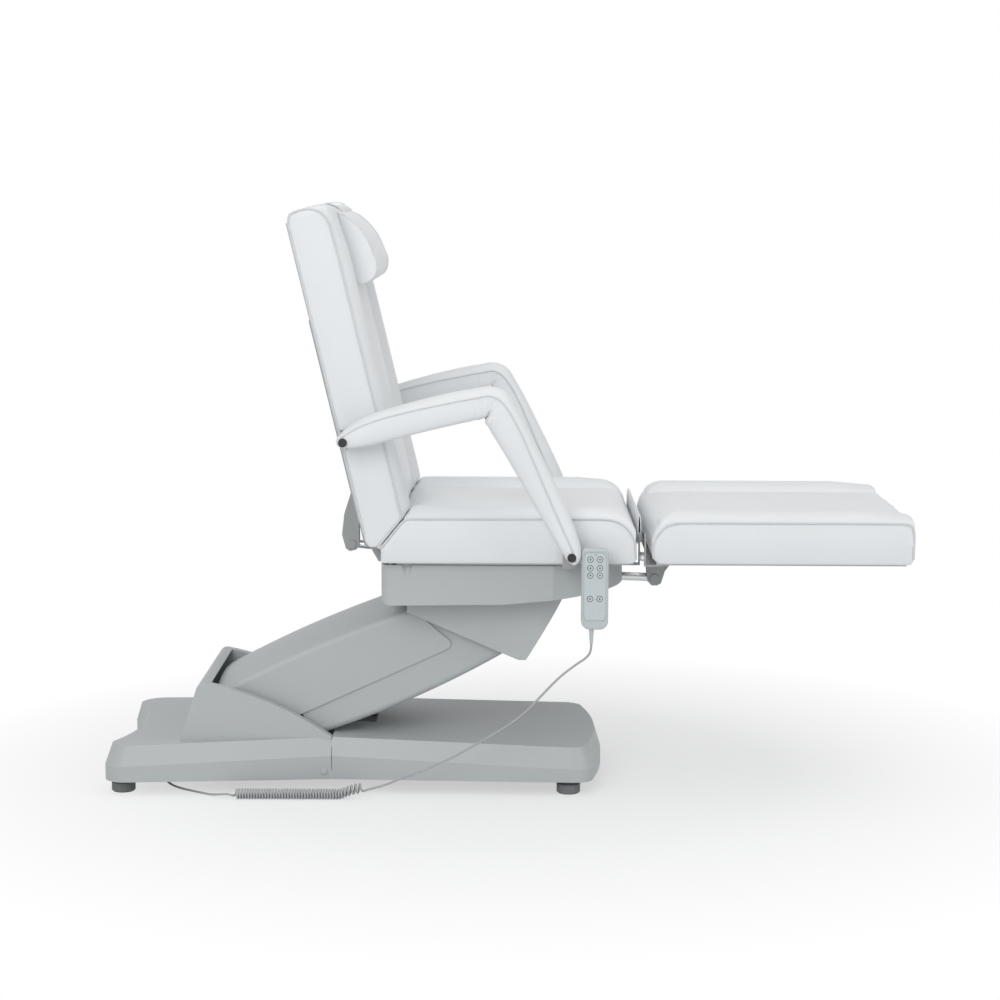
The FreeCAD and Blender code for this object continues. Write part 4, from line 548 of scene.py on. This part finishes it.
def finished(item, finish, rounds=1):
    """Subdivision, smooth shading and a material."""
    change = item.modifiers.new("smooth", "SUBSURF")
    change.levels = rounds
    change.render_levels = rounds
    apply_all(item)
    bpy.ops.object.shade_smooth()
    item.data.materials.clear()
    item.data.materials.append(finish.material)
    return item


def surface_of(item):
    """A search tree of an object's surface, to lay other pieces on it."""
    mesh = item.data
    return BVHTree.FromPolygons([vertex.co for vertex in mesh.vertices],
                                [tuple(face.vertices) for face in mesh.polygons])


def laid(surface, points, lift):
    """Moves points to the nearest place on a surface, lifted a little off it."""
    found = []
    for point in points:
        place, normal, _, _ = surface.find_nearest(point)
        found.append(place + normal * lift)
    return found


print("swelling ready")


# %% Cushions with bolsters
# Lengths are in millimetres, apart from the mitre's and the cover's, which are in metres.
CUSHION_HALF = 300.0
CHANNEL = 213.0
CHANNEL_DEPTH = 4.5
CHANNEL_WIDTH = 4.5
CHANNEL_REACH = 16.0
CHANNEL_DROP = 14.0
BOLSTER_MIDDLE = 256.0
BOLSTER_HALF = 42.0
BOLSTER_CROWN = 9.0
BOLSTER_ROUND = 0.8
BOLSTER_DROP = 6.0
BOLSTER_EASE = 110.0
HELD_BOTTOM = 9.0
HELD_EDGE = 13.0
HELD_RIM = 9.0
HELD_CHANNEL = 6.0
COVER_INSET = 0.002
COVER_CAP = 0.009
MITRE_LOW = Vector((-0.2595, 0.0, 0.534))
MITRE_HIGH = Vector((-0.209, 0.0, 0.596))
MITRE_REACH = 0.020
MITRE_NEAR = 0.010
MITRE_OVER = 0.004
MITRE_EASE_LOW = 0.012
MITRE_EASE_HIGH = 0.016
MITRE_GAP = 0.0007


def meet(item):
    """Draws the slanting end of a cushion up to the plane where the seat and the back touch."""
    slope = MITRE_HIGH - MITRE_LOW
    along = slope.normalized()
    across = Vector((-along.z, 0.0, along.x))
    for vertex in item.data.vertices:
        run = (vertex.co - MITRE_LOW).dot(along)
        off = (vertex.co - MITRE_LOW).dot(across)
        share = clamped((MITRE_REACH - abs(off)) / MITRE_NEAR)
        share *= clamped((run + MITRE_OVER) / MITRE_EASE_LOW)
        share *= clamped((slope.length + MITRE_OVER - run) / MITRE_EASE_HIGH)
        nearer = math.copysign(min(abs(off), MITRE_GAP), off)
        strength = 1.0 if abs(off) < MITRE_NEAR else 0.5
        vertex.co += across * (nearer - off) * share * strength


def cushion(name, node, body, place, bottom, seam, voxel=0.0075):
    """A crowned cushion with two sewn channels, swollen between its seams."""
    to_local = place.inverted()

    def held(point):
        _, y, w = to_local @ point
        if w < bottom + HELD_BOTTOM:
            return 1.0
        if abs(y) > CUSHION_HALF - HELD_EDGE and abs(w - seam) < HELD_RIM:
            return 1.0
        if abs(abs(y) - CHANNEL) < HELD_CHANNEL and w > seam - CHANNEL_DROP:
            return 1.0
        return 0.0

    item = swell(voxelled(copy_of(name, node), voxel, COVER_INSET), held, COVER_CAP)
    finished(item, leather)
    if body != "legrest":
        meet(item)
    out = (place @ Vector((0.0, 0.0, 1.0)) - place.translation).normalized()
    facing = [max(0.0, vertex.normal.dot(out)) for vertex in item.data.vertices]
    far_end = max((to_local @ vertex.co).x for vertex in item.data.vertices)
    for vertex, share in zip(item.data.vertices, facing):
        u, y, w = to_local @ vertex.co
        beside = abs(abs(y) - CHANNEL)
        if w > seam - CHANNEL_DROP and beside < CHANNEL_REACH:
            w -= CHANNEL_DEPTH * math.exp(-(beside / CHANNEL_WIDTH) ** 2)
        across = (abs(y) - BOLSTER_MIDDLE) / BOLSTER_HALF
        if w > seam - BOLSTER_DROP and abs(across) < 1.0:
            ease = clamped((far_end - u) / BOLSTER_EASE)
            w += BOLSTER_CROWN * share * ease * (1.0 - across ** 2) ** BOLSTER_ROUND
        vertex.co = place @ Vector((u, y, w))
    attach(item, body)
    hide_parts(node)
    print(name, "has", len(item.data.polygons), "faces")
    return item


seat_cover = cushion("seat_cover", "seat_cushion", "seat", FLAT, 500.0, 598.0)
leg_cover = cushion("legrest_cover", "legrest_cushion", "legrest", FLAT, 500.0, 591.0)
back_cover = cushion("back_cover", "back_cushion", "back", BACK, -25.0, 64.0, voxel=0.008)


# %% Piping
PIPE = 0.0026
PIPE_LIFT = 0.0012
PIPE_INSET = 2.0
PIPE_STEP = 22.0


def welted(name, cover, points, lift, radius):
    """A tube of covered cord laid along a cover's seam."""
    item = tube(nurbs(name, laid(surface_of(cover), points, lift)), radius, 1)
    item.data.materials.append(welt_painted_shade.material)
    return item


def piping(name, cover, body, points, lift=PIPE_LIFT, radius=PIPE):
    """Piping that moves with one body."""
    item = welted(name, cover, points, lift, radius)
    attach(item, body)


def even(corners, step):
    """Points at an even distance along straight runs."""
    points = [Vector(corners[0])]
    for a, b in zip(corners, corners[1:]):
        a = Vector(a)
        b = Vector(b)
        count = max(1, round((b - a).length / step))
        points += [a.lerp(b, number / count) for number in range(1, count + 1)]
    return points


SEAT_RIM = [(-255, 535), (-206, 596), (150, 598), (205, 598), (228, 594), (248, 582), (264, 560),
            (272, 535), (273, 512)]
LEG_RIM = [(300, 512), (301, 535), (309, 560), (325, 580), (346, 590), (372, 591), (700, 591), (815, 591),
           (832, 588), (840, 578), (842, 560), (842, 515)]
BACK_RIM = [(6, 0), (54, 63), (300, 66), (600, 66), (672, 64), (696, 52), (708, 30), (711, 6),
            (708, -10), (696, -22), (660, -25), (300, -25), (40, -25)]
RIMS = (("seat", seat_cover, FLAT, SEAT_RIM), ("legrest", leg_cover, FLAT, LEG_RIM),
        ("back", back_cover, BACK, BACK_RIM))
for body, cover, place, rim in RIMS:
    for side, way in SIDES:
        corners = [(u, way * (CUSHION_HALF - PIPE_INSET), w) for u, w in rim]
        points = [place @ point for point in even(corners, PIPE_STEP)]
        piping(f"{body}_piping_{side}", cover, body, points)
print("rims piped:", 2 * len(RIMS))

# %% [markdown]
# ## Armrests
# One leathercloth cover goes over the arm, the elbow and the strut of each armrest. It is
# lofted through loaf-shaped sections, and folds inside the elbow.

# %% Armrest frames
REAR_PIVOT = Vector((-0.326, 0.0, 0.760))
ELBOW = Vector((-0.040, 0.0, 0.822))
FRONT_PIVOT = Vector((0.135, 0.0, 0.529))
ARM_SIDE = 350.0


def run_frame(start, end):
    """A frame along one bar of the armrest, its third axis square to the bar."""
    along = (end - start).normalized()
    return frame_of(start, along, Vector((-along.z, 0.0, along.x)))


ALONG_ARM = run_frame(REAR_PIVOT, ELBOW)
ALONG_STRUT = run_frame(ELBOW, FRONT_PIVOT)
print("arm's length:", round((ELBOW - REAR_PIVOT).length, 4))


# %% Armrest stations
# A row gives a place along its bar, then the underside, the piped edge and the crown square to it,
# and how far the cover is pinched there. A row of the fan starts with an angle to the floor instead.
ARM_STATIONS = [(-15, -4, 4, 7, 0), (-7, -11, 8, 14, 0), (12, -16, 16, 27, 0), (45, -18, 26, 39, 0),
                (90, -16, 32, 46, 0), (150, -13.5, 34, 50, 0), (210, -12, 34, 52, 0),
                (248, -11.5, 33.5, 52, 0), (262, -12, 33, 51.5, 0), (270, -11, 33, 51, 3),
                (276, -13.5, 32.5, 50.5, 0), (281, -12, 32, 50, 4)]
FOLD = Vector((-0.0375, 0.0, 0.8105))
FAN = [(93, 0, 45, 63, 0), (82, 1, 45.5, 63.5, 11), (74, 0, 45.5, 64, 0), (65, 2, 45, 64.5, 17),
       (56, 0, 45, 64.5, 0), (47, 1, 45, 64, 10), (38, 0, 45, 62.5, 0)]
STRUT_STATIONS = [(15, -10, 42, 58, 4), (21, -12, 42.5, 58, 0), (28, -9.5, 42.5, 58, 3),
                  (40, -10.5, 42.5, 58, 0), (70, -9.5, 41, 57, 0), (110, -9.5, 36, 54, 0),
                  (180, -10.5, 26.5, 49, 0), (245, -12, 18, 43.5, 0), (300, -12.5, 12, 35, 0),
                  (330, -12.5, 9, 28, 0), (347, -11, 6, 21, 0), (356, -7, 3, 13, 0), (360, -2, 1, 5, 0)]


def bar_station(place, row):
    along, under, edge, crown, pinch = row
    return [place @ Vector((along, 0.0, height)) for height in (under, edge, crown)], pinch


def fan_station(row):
    """A station that stands out from the fold inside the elbow."""
    angle, under, edge, crown, pinch = row
    way = Vector((math.cos(math.radians(angle)), 0.0, math.sin(math.radians(angle))))
    return [FOLD + way * (distance * MM) for distance in (under, edge, crown)], pinch


STATIONS = [bar_station(ALONG_ARM, row) for row in ARM_STATIONS]
STATIONS += [fan_station(row) for row in FAN]
STATIONS += [bar_station(ALONG_STRUT, row) for row in STRUT_STATIONS]
print("stations:", len(STATIONS))


# %% Armrest covers
PAD_HALF = 28.0
PAD_END_HALF = 22.0
ARM_PIPE_SIDE = 28.2
ARM_PIPE_LIFT = 0.0006
ARM_PIPE = 0.0019
# A row of the side says how far in a point lies, how far a pinch draws it in, and how much it takes
# of the rise and of the pinch's lift. A row of the cap says how far in it lies and how high.
LOAF_SIDE = [(12.0, 0.0, -0.02, 0.3), (4.0, 0.25, 0.06, 0.9), (0.5, 0.35, 0.22, 0.6),
             (-1.5, 0.3, 0.5, 0.2), (-0.5, 0.15, 0.84, 0.0), (0.5, 0.0, 1.0, 0.0)]
LOAF_CAP = [(2.5, 0.32), (10.0, 0.74), (19.0, 0.95)]
LOAF_SAG = 0.03


def ring(station, middle, half):
    """The loaf-shaped section of the pad at one station, drawn in where it is pinched."""
    (under, edge, crown), pinch = station
    rise = edge - under
    lift = rise * (pinch * MM / rise.length)
    cap = crown - edge
    side = [(half - inset - pinch * drawn, under + rise * up + lift * raised)
            for inset, drawn, up, raised in LOAF_SIDE]
    side += [(half - inset, edge + cap * up) for inset, up in LOAF_CAP]
    points = [Vector((0.0, middle + y * MM, 0.0)) + place for y, place in side]
    points.append(Vector((0.0, middle, 0.0)) + crown)
    points += [Vector((0.0, middle - y * MM, 0.0)) + place for y, place in reversed(side)]
    points.append(Vector((0.0, middle, 0.0)) + under - rise * LOAF_SAG)
    return points


def loft(name, rings):
    """A closed mesh through rings of points, with a fan of faces at each end."""
    shape = bmesh.new()
    rows = [[shape.verts.new(point) for point in points] for points in rings]
    for low, high in zip(rows, rows[1:]):
        for number in range(len(low)):
            after = (number + 1) % len(low)
            shape.faces.new((low[number], low[after], high[after], high[number]))
    shape.faces.new(list(reversed(rows[0])))
    shape.faces.new(rows[-1])
    bmesh.ops.recalc_face_normals(shape, faces=shape.faces)
    mesh = bpy.data.meshes.new(name)
    shape.to_mesh(mesh)
    shape.free()
    return link(name, mesh)


def armrest_cover(side, way):
    """One cover over arm, elbow and strut, and the piping along its edges."""
    middle = way * ARM_SIDE * MM
    halves = [PAD_END_HALF] + [PAD_HALF] * (len(STATIONS) - 2) + [PAD_END_HALF]
    rings = [ring(station, middle, half) for station, half in zip(STATIONS, halves)]
    item = loft(f"armrest_cover_{side}", rings)
    finished(item, leather, 2)
    pipes = []
    for face, offset in (("outer", ARM_PIPE_SIDE), ("inner", -ARM_PIPE_SIDE)):
        line = [row[1] + Vector((0.0, middle + way * offset * MM, 0.0)) for row, _ in STATIONS[1:-1]]
        pipes.append(welted(f"armrest_piping_{side}_{face}", item, line, ARM_PIPE_LIFT, ARM_PIPE))
    for piece in [item] + pipes:
        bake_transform(piece)
    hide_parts(f"arm_pad_{side}", f"strut_pad_{side}")


for side, way in SIDES:
    armrest_cover(side, way)
print("armrests covered")

# %% [markdown]
# ## Head pillow, strap and flap
# The pillow lies against the top of the back and hangs on a wide strap that goes over it.
# A folded strip of leathercloth fills the gap in front of the seat.

# %% Head pillow
to_back = BACK.inverted()
PILLOW_BACK = 82.0
PILLOW_HELD_END = 203.0
PILLOW_SEAM = 211.0
PILLOW_STEP = 14.0


def held_on_pillow(point):
    """The face against the back and the two end faces keep their shape."""
    _, y, w = to_back @ point
    return 1.0 if w < PILLOW_BACK or abs(y) > PILLOW_HELD_END else 0.0


pillow = voxelled(copy_of("pillow_cover", "head_pillow"), voxel=0.005, inset=0.003)
swell(pillow, held_on_pillow, cap=0.015, pressure=6.0)
finished(pillow, leather)
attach(pillow, "back")
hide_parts("head_pillow")
PILLOW_END = [(536, 78), (600, 77), (690, 78), (680, 96), (661, 110), (632, 124), (600, 132), (572, 134),
              (548, 128), (534, 112), (531, 94), (536, 78)]
for side, way in SIDES:
    corners = [(u, way * PILLOW_SEAM, w) for u, w in PILLOW_END]
    points = [BACK @ point for point in even(corners, PILLOW_STEP)]
    piping(f"pillow_piping_{side}", pillow, "back", points[:-1], lift=0.0006, radius=0.0021)
print("pillow made")


# %% Strap and flap
def ribbon(name, place, line, half, thick, steps):
    """A band of cloth: a line in a cushion's side view, drawn out across it."""
    mesh = bpy.data.meshes.new(name)
    shape = bmesh.new()
    rows = []
    for u, w in line:
        row = []
        for step in range(steps + 1):
            row.append(shape.verts.new(place @ Vector((u, -half + 2 * half * step / steps, w))))
        rows.append(row)
    for low, high in zip(rows, rows[1:]):
        for step in range(steps):
            shape.faces.new((low[step], low[step + 1], high[step + 1], high[step]))
    shape.to_mesh(mesh)
    shape.free()
    item = link(name, mesh)
    body = item.modifiers.new("thick", "SOLIDIFY")
    body.thickness = thick
    body.offset = 0.0
    edge = item.modifiers.new("edge", "BEVEL")
    edge.width = thick * 0.3
    edge.segments = 2
    return item


STRAP_LINE = [(703, 79), (709, 72), (713, 58), (715, 30), (715, 0), (712, -14), (703, -26), (690, -29),
              (655, -27.5), (623, -27)]
strap = finished(ribbon("pillow_band", BACK, STRAP_LINE, half=29.5, thick=0.0026, steps=6), leather)
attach(strap, "back")
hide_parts("pillow_strap")
FLAP_LINE = [(275.6, 538), (275.4, 560), (275.5, 582), (276.2, 592), (278.2, 596.5), (280.4, 593),
             (281.3, 582), (281.6, 560), (281.4, 541)]
flap = finished(ribbon("gap_flap", FLAT, FLAP_LINE, half=237.0, thick=0.0024, steps=24), leather)
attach(flap, "seat")
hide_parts("seat_gap_flap")
print("strap and flap made")

# %% [markdown]
# ## Small trim
# The handset has a thin face plate with a ring round each key, a mark on each key and a lamp.
# The shroud's two scoops are moulded hollows, and domed caps cover the screws beside the split.

# %% Trim helpers
panel_skin = Finish("panel_film", (0.545, 0.605, 0.615), 0.34)
panel_skin.shaded(0.03, panel_skin.noise(60.0))
ink = Finish("printed_ink", (0.055, 0.06, 0.065), 0.5)
ink.shaded(0.2, ink.noise(500.0))


def trim(item, name, finish, body):
    """Gives a small piece its name, its finish and the body that it rides on."""
    bpy.ops.object.transform_apply(location=True, rotation=True, scale=True)
    item.name = name
    item.data.materials.clear()
    item.data.materials.append(finish.material)
    bpy.ops.object.shade_smooth_by_angle(angle=math.radians(40.0))
    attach(item, body)
    return item


def button(place, radius, height, sides=40, turn=0.0):
    """A low round or many-sided button that faces the side of the chair, its rim rounded."""
    bpy.ops.object.select_all(action="DESELECT")
    bpy.ops.mesh.primitive_cylinder_add(vertices=sides, radius=radius * MM, depth=height * MM,
                                        location=Vector(place) * MM, rotation=(math.pi / 2, turn, 0.0))
    item = bpy.context.object
    rim = item.modifiers.new("rim", "BEVEL")
    rim.width = height * MM * 0.4
    rim.segments = 3
    return apply_all(item)


def one(items):
    """Joins several objects into the first."""
    bpy.ops.object.select_all(action="DESELECT")
    for item in items:
        item.select_set(True)
    bpy.context.view_layer.objects.active = items[0]
    bpy.ops.object.join()
    return items[0]


print("trim helpers ready")

# %% Handset face
FACE = -358.0
PLATE_MIDDLE = (183.0, FACE - 0.1, 467.0)
PLATE_SIZE = (44.0, 0.6, 138.0)
PLATE_CORNER = 9.0
HOLE_RADIUS = 5.7
HOLE_DEPTH = 6.0
RING_RADIUS = 6.1
RING_THICK = 0.34
MARK_RADIUS = 2.6
MARK_THICK = 0.3
KEY_LEFT = 173.3
KEY_RIGHT = 192.7
KEY_ROWS = (522.6, 505.2, 490.0, 442.0)
KEYS = [(x, z) for z in KEY_ROWS for x in (KEY_LEFT, KEY_RIGHT)]
bpy.ops.object.select_all(action="DESELECT")
bpy.ops.mesh.primitive_cube_add(size=1.0, location=Vector(PLATE_MIDDLE) * MM,
                                scale=Vector(PLATE_SIZE) * MM)
plate = bpy.context.object
bpy.ops.object.transform_apply(location=True, rotation=True, scale=True)
bpy.ops.object.mode_set(mode="EDIT")
bpy.ops.mesh.select_mode(type="EDGE")
bpy.ops.mesh.select_all(action="DESELECT")
bpy.ops.object.mode_set(mode="OBJECT")
for edge in plate.data.edges:
    a, b = (plate.data.vertices[number].co for number in edge.vertices)
    edge.select = abs(a.y - b.y) > 0.1 * MM
bpy.ops.object.mode_set(mode="EDIT")
bpy.ops.mesh.bevel(offset=PLATE_CORNER * MM, segments=10)
bpy.ops.object.mode_set(mode="OBJECT")
holes = one([button((x, FACE, z), HOLE_RADIUS, HOLE_DEPTH) for x, z in KEYS])
cut = plate.modifiers.new("key_holes", "BOOLEAN")
cut.operation = "DIFFERENCE"
cut.object = holes
apply_all(plate)
bpy.data.objects.remove(holes)
only(plate)
trim(plate, "handset_panel", panel_skin, "seat")
print("handset panel has", len(plate.data.polygons), "faces")
rings = []
for x, z in KEYS:
    bpy.ops.object.select_all(action="DESELECT")
    bpy.ops.mesh.primitive_torus_add(major_radius=RING_RADIUS * MM, minor_radius=RING_THICK * MM,
                                     major_segments=36, minor_segments=8,
                                     location=Vector((x, FACE - 0.4, z)) * MM,
                                     rotation=(math.pi / 2, 0.0, 0.0))
    rings.append(bpy.context.object)
trim(one(rings), "key_rings", ink, "seat")
for number, (x, z) in enumerate(KEYS, 1):
    flip = 0.0 if number % 2 else math.pi
    mark = button((x, FACE - 0.85, z), MARK_RADIUS, MARK_THICK, 3, flip)
    trim(mark, f"key_mark_{number}", ink, f"key_{number}")
trim(button((184.5, FACE - 0.5, 532.0), 1.1, 0.5), "handset_lamp", ink, "seat")
print("handset keys marked:", len(KEYS))

# %% Shroud scoops
SCOOP_WALL = 1.4
SCOOP = (-202.0, 276.0, 496.0)
SCOOP_RADIUS = 13.0
SCOOP_TIP = 4.0
SCOOP_DEPTH = 41.5
SHROUD_FACE = 269.6
liners = []
for way in (-1, 1):
    x, y, z = SCOOP
    bpy.ops.object.select_all(action="DESELECT")
    bpy.ops.mesh.primitive_cone_add(vertices=64, radius1=SCOOP_TIP * MM, radius2=SCOOP_RADIUS * MM,
                                    depth=SCOOP_DEPTH * MM, end_fill_type="NOTHING",
                                    location=Vector((x, way * y, z - SCOOP_DEPTH / 2)) * MM)
    liner = bpy.context.object
    bpy.ops.object.transform_apply(location=True, rotation=True, scale=True)
    bpy.ops.object.mode_set(mode="EDIT")
    bpy.ops.mesh.select_all(action="SELECT")
    bpy.ops.mesh.bisect(plane_co=Vector((0.0, way * SHROUD_FACE, 0.0)) * MM, plane_no=(0.0, way, 0.0),
                        clear_outer=True)
    bpy.ops.object.mode_set(mode="OBJECT")
    wall = liner.modifiers.new("wall", "SOLIDIFY")
    wall.thickness = SCOOP_WALL * MM
    wall.offset = 1.0
    liners.append(apply_all(liner))
trim(one(liners), "shroud_scoops", moulding, "seat")
print("scoops lined:", len(liners))

# %% Screw caps
CAP_X = -380.0
CAP_Z = 47.0
CAP_RADIUS = 7.0
CAP_HEIGHT = 4.0
CAP_OUT = 0.6
BESIDE = 400.0
wall_surface = surface_of(NODES["base_cover_rear"])
caps = []
for way in (-1, 1):
    start = Vector((CAP_X, way * BESIDE, CAP_Z)) * MM
    hit, _, _, _ = wall_surface.ray_cast(start, Vector((0.0, -way, 0.0)))
    print("wall beside the cap:", round(hit.y, 4))
    caps.append(button((CAP_X, hit.y / MM + way * CAP_OUT, CAP_Z), CAP_RADIUS, CAP_HEIGHT))
caps = trim(one(caps), "cover_screw_domes", moulding, "base")
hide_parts("cover_screw_caps")
